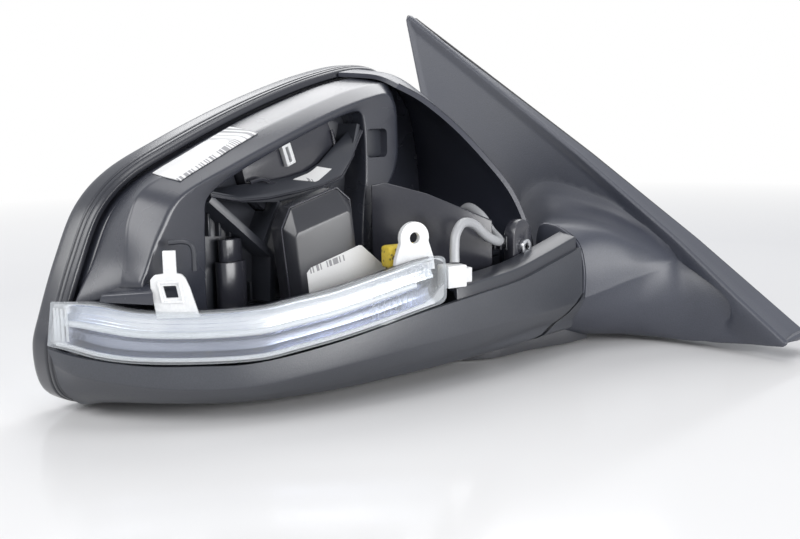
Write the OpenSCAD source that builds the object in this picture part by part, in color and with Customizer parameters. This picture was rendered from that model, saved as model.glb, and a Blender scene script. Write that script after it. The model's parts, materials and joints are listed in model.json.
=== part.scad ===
// Exterior car side mirror, right-hand side, painted cap removed.
// Frame: origin at the middle of the three door fasteners on the door face (X = 0),
// +X into the door, +Y to the rear of the car (the glass faces +Y), +Z up.

/* [Shells] */
// Wall of the moulded shells
shell_wall = 2.4; // [2:0.1:2.8]
// Gap left between pieces that sit in each other
fit_gap = 0.4; // [0.3:0.05:0.5]
// Gap between the moving head and the foot
head_gap = 1.6; // [1.2:0.1:2]
// Wall of the sail plate
sail_wall = 2.6; // [2.2:0.1:3]
// Width of the raised border of the sail
border_w = 6; // [4:0.5:8]
// Height of the raised border of the sail
border_h = 1.4; // [0.8:0.1:1.8]
// Radius of the rounded apex and tip of the sail
sail_tip_r = 3; // [2:0.5:4]

/* [Door fixing] */
// Radius of the threaded bores for the door bolts
bolt_r = 2.5; // [2:0.25:3]
// Wall around a door bolt bore
bolt_wall = 4; // [3:0.5:5]
// Depth of the threaded bores
bolt_depth = 10; // [8:0.5:11]
// Distance of the two lower bolts, front to rear
bolt_span_y = 84; // [78:2:88]
// Height of the upper bolt above the lower two
bolt_span_z = 58; // [40:1:62]
// Radius of the locating pins
loc_pin_r = 3; // [2.5:0.25:3.5]
// Length of the locating pins beyond the door face
loc_pin_l = 9; // [7:1:12]
// Distance between the locating pins, front to rear
loc_pin_span = 52; // [46:1:56]
// Thickness of the door gasket
gasket_t = 2; // [1.5:0.25:2.5]
// Width of the door gasket
gasket_w = 6; // [4:0.5:7]

/* [Fold pivot] */
// Outer radius of the pivot tube
tube_r = 8; // [7:0.25:8.5]
// Wall of the pivot tube
tube_wall = 1.6; // [1.2:0.1:2]
// Running clearance of the tube in the frame's sleeve
run_gap = 0.05; // [0.03:0.01:0.08]
// Wall of the bearing sleeve
sleeve_wall = 4; // [3:0.5:5]
// Radius of the round foot plate under the head
plate_r = 30; // [28:0.5:31]
// Height of the detent ring
detent_h = 3; // [2:0.5:4]
// Radius of the detent ring
detent_r = 17; // [15:0.5:18]
// Number of detent notches
detent_n = 4; // [3:1:6]

/* [Fold drive] */
// Height of the fold gear
gear_h = 7; // [6:0.5:8]
// Pitch radius of the worm
worm_r = 5; // [4.5:0.25:5.5]
// Length of the worm thread
worm_l = 15; // [12:0.5:16]
// Radius of the fold motor
motor_r = 9; // [8:0.5:9]
// Length of the fold motor
motor_l = 24; // [20:1:26]
// Wire radius of the fold spring
spring_wire = 1.1; // [0.8:0.1:1.3]
// Turns of the fold spring
spring_turns = 3.5; // [3:0.5:4]

/* [Glass and adjuster] */
// Thickness of the mirror glass
glass_t = 2; // [1.8:0.1:2.4]
// Thickness of the heater pad
heater_t = 0.8; // [0.5:0.1:1]
// Thickness of the glass holder plate
holder_t = 2.2; // [1.8:0.1:2.6]
// Gap all round between the glass and the bezel ring
glass_gap = 4; // [3.5:0.25:5]
// Radius of the adjuster drum
drum_r = 38; // [34:1:40]
// Depth of the adjuster drum
drum_h = 14; // [12:1:15]
// Distance of each push rod from the ball centre
rod_arm = 25; // [22:1:28]
// Radius of the push rods
rod_r = 2.6; // [2.2:0.1:3]
// Radius of the ball ends of the push rods
rod_ball_r = 3.4; // [3:0.1:3.8]
// Radius of the nut gears
nut_r = 9; // [8:0.5:10]
// Radius of the adjuster motors
adj_motor_r = 6; // [5:0.5:7]
// Radius of the gimbal ball
ball_r = 7; // [6:0.5:8]

/* [Side lamp] */
// Wall of the clear lens
lens_wall = 2; // [1.6:0.1:2.4]
// Wall of the lamp housing
lamp_wall = 1.8; // [1.5:0.1:2.2]
// Wall of the reflector
reflector_wall = 1; // [0.8:0.1:1.2]
// Thickness of the lamp circuit board
board_t = 1.2; // [1:0.1:1.6]
// Number of light-emitting diodes
led_n = 6; // [4:1:8]
// Radius of the hole in the lamp's screw ear
ear_hole_r = 2.3; // [2:0.1:2.6]

/* [Control module] */
// Width of the control module
module_w = 36; // [32:1:38]
// Height of the control module
module_h = 42; // [40:1:46]
// Depth of the control module
module_d = 16; // [14:1:17]
// Wall of the control module
module_wall = 1.8; // [1.5:0.1:2.2]
// Thickness of the paper labels
label_t = 0.35; // [0.3:0.05:0.5]

/* [Fasteners] */
// Head radius of the Torx screws
screw_head_r = 3.4; // [3:0.1:3.8]
// Shank radius of the Torx screws
screw_r = 1.6; // [1.4:0.1:1.8]
// Radius of the lead loop and harness
lead_r = 2.2; // [1.8:0.1:2.6]

/* [Hidden] */
$fn = 64;
gear_teeth = 24;
gear_mod = 1.25;

// ---------- curves and surfaces ----------
function cubic(a, b, c, d, t) = 0.5 * (2 * b + (c - a) * t + (2 * a - 5 * b + 4 * c - d) * t * t
    + (3 * b - a - 3 * c + d) * t * t * t);
// closed smooth curve through P, n steps a span
function ring(P, n) = let (m = len(P)) [for (i = [0 : m - 1]) for (k = [0 : n - 1])
    cubic(P[(i + m - 1) % m], P[i], P[(i + 1) % m], P[(i + 2) % m], k / n)];
// open smooth curve through P, n steps a span
function path(P, n) = let (m = len(P)) concat([for (i = [0 : m - 2]) for (k = [0 : n - 1])
    cubic(P[max(i - 1, 0)], P[i], P[i + 1], P[min(i + 2, m - 1)], k / n)], [P[m - 1]]);
function unit(v) = v / max(norm(v), 0.000001);
function column(G, j) = [for (row = G) row[j]];
function transpose(G) = [for (j = [0 : len(G[0]) - 1]) column(G, j)];
// smooth grid through a coarse one: a steps along the rows, b between the rows
function mesh(G, a, b) = let (R = [for (row = G) path(row, a)])
    transpose([for (c = transpose(R)) path(c, b)]);
// grid moved by t along its own normals
function shifted(G, t) = let (m = len(G), n = len(G[0])) [for (i = [0 : m - 1]) [for (j = [0 : n - 1])
    G[i][j] + t * unit(cross(G[min(i + 1, m - 1)][j] - G[max(i - 1, 0)][j],
        G[i][min(j + 1, n - 1)] - G[i][max(j - 1, 0)]))]];
// closed curve [x, y, z] drawn in by d in the XZ plane, turning clockwise seen from the front
function drawn_in(L, d) = let (m = len(L)) [for (i = [0 : m - 1])
    let (t = unit([L[(i + 1) % m][0] - L[(i + m - 1) % m][0], L[(i + 1) % m][2] - L[(i + m - 1) % m][2]]))
    [L[i][0] + t[1] * d, L[i][1], L[i][2] - t[0] * d]];
function at_y(L, y) = [for (p = L) [p[0], y, p[2]]];

// closed solid between two grids, G outside and H inside
module between(G, H) {
    m = len(G);
    n = len(G[0]);
    s = m * n;
    points = concat([for (row = G) for (p = row) p], [for (row = H) for (p = row) p]);
    faces = concat(
        [for (i = [0 : m - 2]) for (j = [0 : n - 2]) for (f = [
            [i * n + j, i * n + j + 1, (i + 1) * n + j + 1], [i * n + j, (i + 1) * n + j + 1, (i + 1) * n + j],
            [s + i * n + j, s + (i + 1) * n + j + 1, s + i * n + j + 1],
            [s + i * n + j, s + (i + 1) * n + j, s + (i + 1) * n + j + 1]]) f],
        [for (i = [0 : m - 2]) for (f = [
            [i * n, (i + 1) * n, s + (i + 1) * n], [i * n, s + (i + 1) * n, s + i * n],
            [i * n + n - 1, s + (i + 1) * n + n - 1, (i + 1) * n + n - 1],
            [i * n + n - 1, s + i * n + n - 1, s + (i + 1) * n + n - 1]]) f],
        [for (j = [0 : n - 2]) for (f = [
            [j, s + j + 1, j + 1], [j, s + j, s + j + 1],
            [(m - 1) * n + j, (m - 1) * n + j + 1, s + (m - 1) * n + j + 1],
            [(m - 1) * n + j, s + (m - 1) * n + j + 1, s + (m - 1) * n + j]]) f]);
    polyhedron(points, faces, convexity = 6);
}
// closed solid through a stack of closed curves; wrap joins the last curve to the first
module stack(L, wrap = false) {
    m = len(L);
    n = len(L[0]);
    points = [for (row = L) for (p = row) p];
    sides = [for (i = [0 : (wrap ? m - 1 : m - 2)]) for (j = [0 : n - 1]) for (f = [
        [i * n + j, i * n + (j + 1) % n, ((i + 1) % m) * n + (j + 1) % n],
        [i * n + j, ((i + 1) % m) * n + (j + 1) % n, ((i + 1) % m) * n + j]]) f];
    ends = wrap ? [] : [[for (j = [n - 1 : -1 : 0]) j], [for (j = [0 : n - 1]) (m - 1) * n + j]];
    polyhedron(points, concat(sides, ends), convexity = 6);
}
// tube of radius r along a route
function frame_at(R, i) = let (m = len(R), t = unit(R[min(i + 1, m - 1)] - R[max(i - 1, 0)]),
    s = unit(cross(t, abs(t[2]) > 0.9 ? [1, 0, 0] : [0, 0, 1]))) [s, cross(s, t)];
module tube_along(R, r, sides = 10) stack([for (i = [0 : len(R) - 1]) let (f = frame_at(R, i))
    [for (k = [0 : sides - 1]) R[i] + r * (cos(360 * k / sides) * f[0] + sin(360 * k / sides) * f[1])]]);

// ---------- places and driving curves ----------
pivot = [-92, -14];
floor_z = -47;
// outline of the mirror opening, seen from the front, as [x, z]
rim_points = [[-262, -45], [-274, -38], [-277, -22], [-273, -8], [-265, 12], [-255, 31], [-240, 44], [-216, 55],
    [-188, 66], [-161, 75], [-135, 82], [-111, 86], [-94, 84], [-81, 73], [-73, 54], [-69, 30], [-68, 5],
    [-71, -18], [-80, -33], [-98, -41], [-130, -43], [-170, -45], [-215, -47], [-245, -47]];
rim_y = 44;
rim = ring([for (p = rim_points) [p[0], rim_y, p[1]]], 3);
// curves of the carrier shell from its skirt to the window, all with the rim's number of points
groove_points = [[-240, 21, -18], [-254, 22, -14], [-267, 27, -6], [-268.5, 30, -3], [-260.5, 30, 10],
    [-251, 30, 28], [-237.5, 30, 39.8], [-214, 30, 50.8], [-186.5, 30, 61.7], [-159.5, 30, 70.7],
    [-134.5, 29, 77.5], [-114, 27, 79.5], [-107, 24, 73], [-107, 23, 60], [-108, 23, 46], [-112, 23, 34],
    [-124, 23, 26], [-128, 23, 16], [-130, 23, 0], [-132, 23, -10], [-150, 23, -16], [-175, 23, -18],
    [-205, 23, -18], [-225, 23, -18]];
knee_points = [[-236, 9, -16], [-247, 9, -10], [-258, 8, -1], [-262, 7, 3], [-260, 8, 13], [-256, 10, 28],
    [-247, 10, 39.5], [-219, 9, 50], [-189, 9, 59.5], [-161, 9, 68.2], [-137, 9, 74.5], [-117, 9, 76.5],
    [-112, 9, 70], [-112, 9, 59], [-112, 9, 45], [-117, 9, 34], [-128, 9, 26], [-131, 9, 15], [-133, 9, -1],
    [-136, 9, -11], [-150, 9, -16], [-175, 9, -17], [-205, 9, -18], [-225, 9, -18]];
ridge_points = [[-232, -1, -14], [-243, -1, -9], [-253, -1, 1], [-260, -1, 4], [-257, -1, 11], [-249.5, -1, 24],
    [-239, -1, 36], [-212, -1, 46.5], [-186, -1, 56], [-160, -1, 64.5], [-138, -1, 70.3], [-127, -1, 71.5],
    [-121.5, -1, 66], [-120.5, -1, 56], [-121, -1, 43], [-126, -1, 33], [-136, -1, 24.5], [-138.5, -1, 14],
    [-139.5, -1, -2], [-141, -1, -12], [-150, -1, -16], [-175, -1, -16], [-200, -1, -16], [-218, -1, -16]];
window_points = [[-222, 0, -12], [-229, 0, -9], [-230, 0, -4], [-230, 0, 3], [-229.5, 0, 12], [-229, 0, 25],
    [-226.5, 0, 34.5], [-210, 0, 43], [-185, 0, 52.5], [-160, 0, 61], [-147, 0, 64.3], [-142.5, 0, 63],
    [-141, 0, 58], [-140.5, 0, 51], [-140.5, 0, 43], [-141, 0, 33], [-143, 0, 22], [-144, 0, 12],
    [-144.5, 0, 1], [-146, 0, -9], [-153, 0, -12], [-175, 0, -12.5], [-195, 0, -12.5], [-210, 0, -12.5]];
window_back_y = 12.8;
// front skin of the head from the lamp down to the floor: one column for each station, outboard to inboard
skin_columns = [
    [[-281, 29, -18.5], [-280.5, 26, -24], [-277, 28, -34], [-269, 30, -42], [-262, 31, -44.2]],
    [[-277, 15, -20.5], [-277, 15, -27.5], [-270, 19, -37], [-262, 25, -42.5], [-252, 31.8, -45]],
    [[-264, -3, -23.5], [-264.5, -3, -31], [-258, 3, -39], [-248, 13, -43.5], [-238, 31.8, -46]],
    [[-248, -18, -24.5], [-249, -18, -33], [-243, -11, -40], [-234, 0, -44.2], [-222, 31.8, -46]],
    [[-231, -30.5, -24.5], [-231.5, -31, -33], [-227, -23, -40], [-220, -10, -44.5], [-207, 31.8, -46]],
    [[-203, -44, -20], [-204, -44.5, -29.5], [-201, -37, -38], [-196, -23, -44], [-188, 31.8, -45.5]],
    [[-169, -54.5, -13.5], [-170, -54, -26.5], [-169, -46, -36], [-166, -32, -43], [-162, 31.8, -44.5]],
    [[-137, -59.5, -10], [-138, -59.5, -25], [-137, -52, -35], [-136, -38, -42], [-135, 31.8, -43.5]],
    [[-111, -62, -7.5], [-112, -62, -24.3], [-111, -55, -33.5], [-110, -43, -41], [-110, 31.8, -42.5]],
    [[-88, -63, -3], [-88, -63.5, -24], [-88, -57.5, -32], [-88, -47, -39.5], [-90, 32, -41]],
    [[-64.8, -64, 2], [-64.8, -65, -22.5], [-64.8, -59.5, -31.5], [-64.8, -48, -38.5], [-74, 31, -34]]];
// line at which the head ends on the arm's lobe, seen from the front, as [x, z]
part_line = [[-110, -41.8], [-98, -39.5], [-88, -36.8], [-80, -32.5], [-74, -27.5], [-70, -22.8]];
// lens lines on the front of the head
lens_top = [[-279.5, 27, -1], [-277, 17, -0.5], [-272, 7, -1], [-263, -4, -3.5], [-248, -18, -4.5], [-230, -31, -4],
    [-217, -38, -2], [-203, -44, 0], [-186, -49, 3.5], [-169, -54, 7], [-156, -56.5, 8.5]];
lens_bottom = [[-281.5, 28, -17.5], [-279, 20, -18.5], [-273.5, 8, -21], [-264, -3, -23], [-248, -18, -24],
    [-231, -30.5, -24], [-218, -37.5, -22], [-203, -44, -19.5], [-187, -49.5, -16.5], [-169, -54.5, -13],
    [-156, -57, -11]];
// inboard shell of the head: along the rim, over its widest bulge and along its front edge
shell_rim = [[-124, 31.9, 82.2], [-110.5, 31.9, 83.7], [-95, 31.9, 81.4], [-83.2, 31.9, 71.6], [-75.4, 31.9, 53.5],
    [-71.4, 31.9, 30], [-70.4, 31.9, 5], [-73.4, 31.9, -17.5], [-82, 31.9, -31.4]];
shell_bulge = [[-118, 14, 80.5], [-108, 12, 80.4], [-97, 9, 74.5], [-86, 6, 64], [-76, 3, 48], [-69, 2, 29],
    [-65, 2, 6], [-65.5, 3, -15], [-69.5, 4, -30]];
shell_edge = [[-119.5, -1, 76], [-112.5, -10, 69.5], [-104, -21, 58], [-94, -31, 43], [-84, -37, 29],
    [-77, -40, 15], [-74, -42, 2], [-73, -43, -12], [-75, -41, -23]];
// sections of the arm from its end to the sail: stand-off of the section, share of the sail's lean, [y, z] points
arm_sections = [
    [-66, 0, [[-64.5, -22.5], [-65, -10], [-62, 2], [-55, 8], [-47, 11], [-40, 9], [-37.5, -10], [-38.5, -34],
        [-42, -38.6], [-48, -39], [-53.5, -36], [-59, -31.5]]],
    [-58, 0.1, [[-69, -20], [-69, -8], [-65, 4.5], [-57, 9.5], [-46, 11], [-35.5, 8], [-32.5, -12], [-33.5, -36],
        [-40, -41], [-50, -41], [-57.5, -37.5], [-64, -31]]],
    [-49, 0.25, [[-75.5, -16], [-75, -6], [-70, 5.5], [-60, 10], [-45, 11], [-30, 8], [-26, -14], [-27, -38],
        [-36, -43.5], [-52, -43.5], [-63, -39.5], [-71, -30]]],
    [-40, 0.45, [[-81, -13], [-80, -5], [-75, 3], [-64, 8.5], [-45, 10.5], [-24, 8], [-17, -14], [-18, -40],
        [-34, -45.5], [-54, -45.5], [-69, -41], [-78, -29]]],
    [-34, 0.65, [[-85, -10.8], [-84, -5], [-79, 1], [-67, 9], [-45, 13], [-18, 11], [-9, -14], [-10, -41],
        [-30, -46], [-56, -46], [-75, -41.5], [-84, -27]]],
    [-30, 0.85, [[-89, -12], [-88, -5], [-83, 1.5], [-70, 14], [-45, 22], [-12, 20], [0, -12], [-2, -42],
        [-28, -46], [-60, -46], [-86, -42.5], [-92, -26]]],
    [-28.3, 0.95, [[-91.5, -12], [-90.5, -5.5], [-85.5, 3], [-74, 18], [-45, 29], [-9, 27], [6, -10], [3, -42.5],
        [-27, -46], [-62, -46], [-96, -43], [-98, -25]]],
    [-27.5, 1, [[-95, -13], [-94, -6], [-87, 4], [-77, 22], [-44, 35], [-5, 33], [12, -8], [8, -43],
        [-26, -45.6], [-66, -45.6], [-104, -43.4], [-106, -24]]]];
// corners of the sail as [y, z]
sail_corners = [[95.5, 121], [75, 65], [31.5, -44.5], [-60, -45.6], [-112, -43.8], [-143.5, -40.8], [-145, -38.6],
    [-90, 1.2], [-30.5, 41.2], [37, 84]];
sail_lean = atan(0.14);
sail_foot_x = -27.5;
sail_foot_z = -49;

// ---------- shared shapes ----------
module sail_outline(inset = 0) offset(delta = -inset) offset(r = sail_tip_r, $fn = 24) offset(delta = -sail_tip_r)
    polygon([for (p = sail_corners) [p[0], (p[1] - sail_foot_z) / cos(sail_lean)]]);
module on_sail() translate([sail_foot_x, 0, sail_foot_z]) rotate([0, sail_lean, 0]) rotate([90, 0, 90]) children();
module door_side(x) translate([x, -200, -100]) cube([100, 400, 300]);
module along_x(x, y, z) translate([x, y, z]) rotate([0, 90, 0]) children();
module along_y(x, y, z) translate([x, y, z]) rotate([-90, 0, 0]) children();
function arm_loop(s, wall) = let (P = s[2], m = len(P), L = ring(P, 3), n = len(L)) [for (i = [0 : n - 1])
    let (t = unit(L[(i + 1) % n] - L[(i + n - 1) % n]), p = L[i] + wall * [-t[1], t[0]])
    [s[0] + s[1] * 0.14 * (p[1] - sail_foot_z), p[0], p[1]]];
arm_wall_side = -1;
function arm_loops(wall) = transpose([for (c = transpose([for (s = arm_sections) arm_loop(s, arm_wall_side * wall)]))
    path(c, 2)]);
// hollow arm: outer curves inboard, then the inner ones back, with a closed end
module arm_body(wall) {
    outer = arm_loops(0);
    inner = arm_loops(wall);
    m = len(outer);
    first = [for (p = inner[0]) p + [wall, 0, 0]];
    stack(concat(outer, [for (i = [m - 1 : -1 : 1]) inner[i]], [first]));
}
opening_points = [[-88, -34], [-87, -14], [-70, 14], [-44, 26], [-10, 24], [4, -8], [0, -36], [-26, -39.4], [-66, -39.4]];
// end of the arm drawn on the sail plane
module arm_print(wall, grow) let (L = arm_loop(arm_sections[len(arm_sections) - 1], arm_wall_side * (wall + grow)))
    polygon([for (p = L) [p[1], (p[2] - sail_foot_z) / cos(sail_lean)]]);
module arm_opening() on_sail() translate([0, 0, -5]) linear_extrude(20)
    polygon([for (p = opening_points) [p[0], (p[1] - sail_foot_z) / cos(sail_lean)]]);
skin = mesh(transpose(skin_columns), 3, 2);
module front_skin(wall) between(skin, shifted(skin, -wall));
// everything under the parting line, as seen from the front
module under_part_line(gap) rotate([90, 0, 0]) translate([0, 0, -5]) linear_extrude(90)
    polygon(concat([for (p = part_line) [p[0] + gap * 0.6, p[1] - gap * 0.8]],
        [[-64.5 + gap, -18], [-40, -18], [-40, -60], [-112 + gap * 0.6, -60]]));
function strip(P, w) = let (m = len(P), N = [for (i = [0 : m - 1])
    let (t = unit(P[min(i + 1, m - 1)] - P[max(i - 1, 0)])) [-t[1], t[0]] * w / 2])
    concat([for (i = [0 : m - 1]) P[i] + N[i]], [for (i = [m - 1 : -1 : 0]) P[i] - N[i]]);
// flat web standing along a line seen from the front, from y0 to y1
module web(P, w, y0, y1) translate([0, y1, 0]) rotate([90, 0, 0]) linear_extrude(y1 - y0) polygon(strip(P, w));
module torx(len_shank) {
    difference() {
        cylinder(h = 2.2, r = screw_head_r);
        translate([0, 0, 1]) for (a = [0 : 60 : 120]) rotate(a) cube([3, 1, 3], center = true);
    }
    translate([0, 0, -len_shank]) cylinder(h = len_shank, r = screw_r);
}

// ---------- foot ----------
plate_low = -46.2;
plate_top = -39;
tube_low = -39.6;
tube_top = 12;
boss_r = detent_r - 4.7;
bolt_low_z = -bolt_span_z / 3;
bolt_mid_y = -18;
bolt_spots = [[bolt_mid_y - bolt_span_y / 2, bolt_low_z], [bolt_mid_y + bolt_span_y / 2, bolt_low_z],
    [-2 * bolt_mid_y, bolt_low_z + bolt_span_z]];
pin_spots = [[-26, -28], [loc_pin_span - 26, 20]];
grommet_spot = [-30, 2];
grommet_r = 8;
door_plate_t = 3.2;
core_plan = [[-5, -62], [-30, -62], [-50, -59], [-62, -54], [-62, -43.5], [-57, -40.5], [-48, -35], [-38, -28],
    [-30, -21], [-5, -14]];
link_plan = [[-100, -43], [-80, -46], [-60, -52], [-45, -54], [-45, -33], [-57, -37], [-64, -29]];
core_low = -32;
core_top = 4;
core_wall = 3;
core_floor = 3;
module tongue(grow = 0) translate([0, 0, plate_low - grow]) linear_extrude(plate_top - plate_low + 2 * grow)
    offset(delta = grow) polygon(link_plan);
module foot_base() color("#6c6f73") difference() {
    union() {
        // plate on the door, ending behind the sail
        difference() {
            rotate([90, 0, 90]) translate([0, 0, -gasket_t - door_plate_t]) linear_extrude(door_plate_t)
                translate([0, sail_foot_z, 0]) sail_outline(8);
            on_sail() translate([-200, -50, -50]) cube([400, 400, 50 + sail_wall + fit_gap]);
        }
        // stop pad, bosses and pins of the door fixing
        along_x(-gasket_t - door_plate_t, 0, 0) cylinder(h = gasket_t + door_plate_t, r = 9);
        for (b = bolt_spots) along_x(-bolt_depth - 1, b[0], b[1]) cylinder(h = bolt_depth + 1, r = bolt_r + bolt_wall);
        for (p = pin_spots) {
            along_x(-gasket_t - door_plate_t, p[0], p[1]) cylinder(h = gasket_t + door_plate_t, r = loc_pin_r + 3);
            along_x(0, p[0], p[1]) cylinder(h = loc_pin_l, r = loc_pin_r);
        }
        // hollow arm core
        difference() {
            translate([0, 0, core_low]) linear_extrude(core_top - core_low) polygon(core_plan);
            translate([0, 0, core_low + core_floor]) linear_extrude(core_top - core_low)
                offset(delta = -core_wall) polygon(core_plan);
        }
        // tongue and round plate under the head, with the seat of the pivot tube
        tongue();
        translate([0, 0, plate_low]) linear_extrude(core_low - plate_low + core_floor)
            intersection() { polygon(link_plan); translate([-57, -51]) square([11.6, 12.5]); }
        translate([pivot[0], pivot[1], plate_low]) cylinder(h = plate_top - plate_low, r = plate_r);
        translate([pivot[0], pivot[1], plate_top]) cylinder(h = detent_h, r = boss_r);
    }
    for (b = bolt_spots) along_x(-bolt_depth, b[0], b[1]) cylinder(h = bolt_depth + 1, r = bolt_r);
    along_x(-20, grommet_spot[0], grommet_spot[1]) cylinder(h = 21, r = grommet_r);
    // tube seat, cable chamber and duct
    translate([pivot[0], pivot[1], tube_low]) cylinder(h = 20, r = tube_r + run_gap);
    translate([pivot[0], pivot[1], plate_low + 1.2]) cylinder(h = 9, r = tube_r - tube_wall);
    translate([0, 0, plate_low + 1.2]) linear_extrude(5.4) polygon(strip([pivot, [-53, -44.4]], 6));
    translate([-53, -44.4, plate_low + 1.4]) cylinder(h = 20, r = 3.6);
}
module behind_sail(depth) on_sail() translate([-200, -100, depth]) cube([400, 400, 100]);
module front_of_sail(depth) on_sail() translate([-200, -100, depth - 100]) cube([400, 400, 100]);
module sail_cover() color("#2c2e31") difference() {
    union() {
        on_sail() difference() {
            translate([0, 0, -border_h]) linear_extrude(border_h + sail_wall) sail_outline();
            translate([0, 0, -border_h - 1]) linear_extrude(border_h + 1) union() {
                sail_outline(border_w);
                arm_print(0, -0.4);
                translate([-102, -20]) square([108, 30]);
            }
        }
        // side walls down to the gasket
        difference() {
            rotate([90, 0, 90]) translate([0, 0, -40]) linear_extrude(40 - gasket_t)
                translate([0, sail_foot_z, 0]) difference() { sail_outline(1.2); sail_outline(1.2 + shell_wall); }
            front_of_sail(sail_wall - 0.5);
        }
    }
    arm_opening();
    door_side(-gasket_t);
}
module arm_cover() color("#2f3236") difference() {
    union() {
        arm_body(shell_wall);
        // lobe that carries the head's lower face on to the arm
        intersection() {
            front_skin(shell_wall);
            under_part_line(head_gap / 2);
            translate([pivot[0] - 5, -70, -60]) cube([31.6, 32, 60]);
        }
    }
    tongue(fit_gap);
    translate([pivot[0], pivot[1], plate_low - 5]) cylinder(h = 20, r = plate_r + fit_gap);
}
module door_gasket() color("#17181a") rotate([90, 0, 90]) translate([0, 0, -gasket_t]) linear_extrude(gasket_t)
    translate([0, sail_foot_z]) difference() { sail_outline(2); sail_outline(2 + gasket_w); }
module cable_grommet() color("#17181a") along_x(0, grommet_spot[0], grommet_spot[1]) difference() {
    union() {
        translate([0, 0, -gasket_t - door_plate_t - 2]) cylinder(h = gasket_t + door_plate_t + 6, r = grommet_r - 0.1);
        translate([0, 0, 0.1]) cylinder(h = 3, r = grommet_r + 2.5);
    }
    translate([0, 0, -20]) cylinder(h = 40, r = lead_r + 0.1);
}
module pivot_tube() color("#8d9196") translate([pivot[0], pivot[1], tube_low]) difference() {
    cylinder(h = tube_top - tube_low, r = tube_r);
    translate([0, 0, -1]) cylinder(h = tube_top - tube_low + 2, r = tube_r - tube_wall);
}
module detent_ring() color("#3a3c40") translate([pivot[0], pivot[1], plate_top]) difference() {
    cylinder(h = detent_h, r = detent_r);
    translate([0, 0, -1]) cylinder(h = detent_h + 2, r = boss_r + 0.1);
    for (i = [0 : detent_n - 1]) rotate(360 * i / detent_n) translate([detent_r, 0, detent_h]) rotate([0, 90, 0])
        cylinder(h = 20, r = 1.2, center = true, $fn = 24);
}
sleeve_low = plate_top + detent_h + 2;
sleeve_top = -16;
gear_low = -14;
gear_mid = gear_low + gear_h / 2;
pitch_r = gear_teeth * gear_mod / 2;
tooth_step = 360 / gear_teeth;
module fold_gear() color("#d8d4c4") translate([pivot[0], pivot[1], gear_low]) difference() {
    linear_extrude(gear_h) polygon([for (k = [0 : gear_teeth - 1]) for (c = [
        [-0.29, pitch_r - 1.2 * gear_mod], [-0.13, pitch_r + 0.85 * gear_mod],
        [0.13, pitch_r + 0.85 * gear_mod], [0.29, pitch_r - 1.2 * gear_mod]])
        c[1] * [cos((k + c[0]) * tooth_step), sin((k + c[0]) * tooth_step)]]);
    translate([0, 0, -1]) cylinder(h = gear_h + 2, r = tube_r + run_gap);
}
spring_low = gear_low + gear_h + spring_wire + 0.1;
spring_high = 3;
module fold_spring() color("#9b9ea3") {
    steps = round(spring_turns * 14);
    r = tube_r + spring_wire + 1.6;
    tube_along([for (i = [0 : steps]) [pivot[0] + r * cos(360 * spring_turns * i / steps),
        pivot[1] + r * sin(360 * spring_turns * i / steps),
        spring_low + (spring_high - spring_low) * i / steps]], spring_wire, 8);
}
retainer_low = spring_high + spring_wire + 0.1;
module spring_retainer() color("#8d9196") translate([pivot[0], pivot[1], retainer_low]) difference() {
    cylinder(h = 2, r = tube_r + 6);
    translate([0, 0, -1]) cylinder(h = 4, r = tube_r + run_gap);
}
module snap_ring() color("#55585c") translate([pivot[0], pivot[1], retainer_low + 2.1]) difference() {
    cylinder(h = 1.2, r = tube_r + 2);
    translate([0, 0, -1]) cylinder(h = 4, r = tube_r + run_gap);
    translate([0, -1.5, -1]) cube([20, 3, 4]);
}
cover_screw_spots = [[-70, -30], [12, -30], [20, 40]];
module cover_screws() color("#c6c9cc") for (q = cover_screw_spots) along_x(-gasket_t - door_plate_t - 0.1, q[0], q[1])
    rotate([180, 0, 0]) translate([0, 0, 0]) cylinder(h = 5, r = screw_r);
foot_route = [[-92, -14, tube_top - 0.5], [-92, -14, 0], [-92, -14, -15], [-92, -14, -30], [-92, -14, -36.5],
    [-90.8, -14.9, -40.8], [-87.5, -17.5, -42.4], [-82, -21.8, -42.5], [-72, -29.6, -42.5], [-62, -37.4, -42.4],
    [-56, -42, -41.8], [-53.2, -44.2, -38.5], [-52, -44.4, -28], [-50, -43.5, -14], [-43, -40, -4], [-33, -34, 0],
    [-24, -30.5, 1.6], [-14, -30, 2], [-4, -30, 2], [6, -30, 2]];
module foot_harness() color("#1b1c1e") tube_along(foot_route, lead_r, 8);

// ---------- head: frame and shells ----------
inner_wall = 2;
frame_y = 13;
frame_t = 2.4;
rim_loop = ring([for (p = rim_points) [p[0], rim_y, p[1]]], 2);
groove = ring(groove_points, 2);
knee = ring(knee_points, 2);
ridge = ring(ridge_points, 2);
window = ring(window_points, 2);
function skirt(d, y) = at_y(drawn_in(rim_loop, d), y);
function moved_y(L, d) = [for (p = L) p + [0, d, 0]];
function floor_loop(d, lift) = let (A = drawn_in(rim_loop, d)) [for (i = [0 : len(A) - 1])
    [A[i][0], groove[i][1] + lift, A[i][2]]];
module flat(L) polygon([for (p = L) [p[0], p[2]]]);
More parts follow.
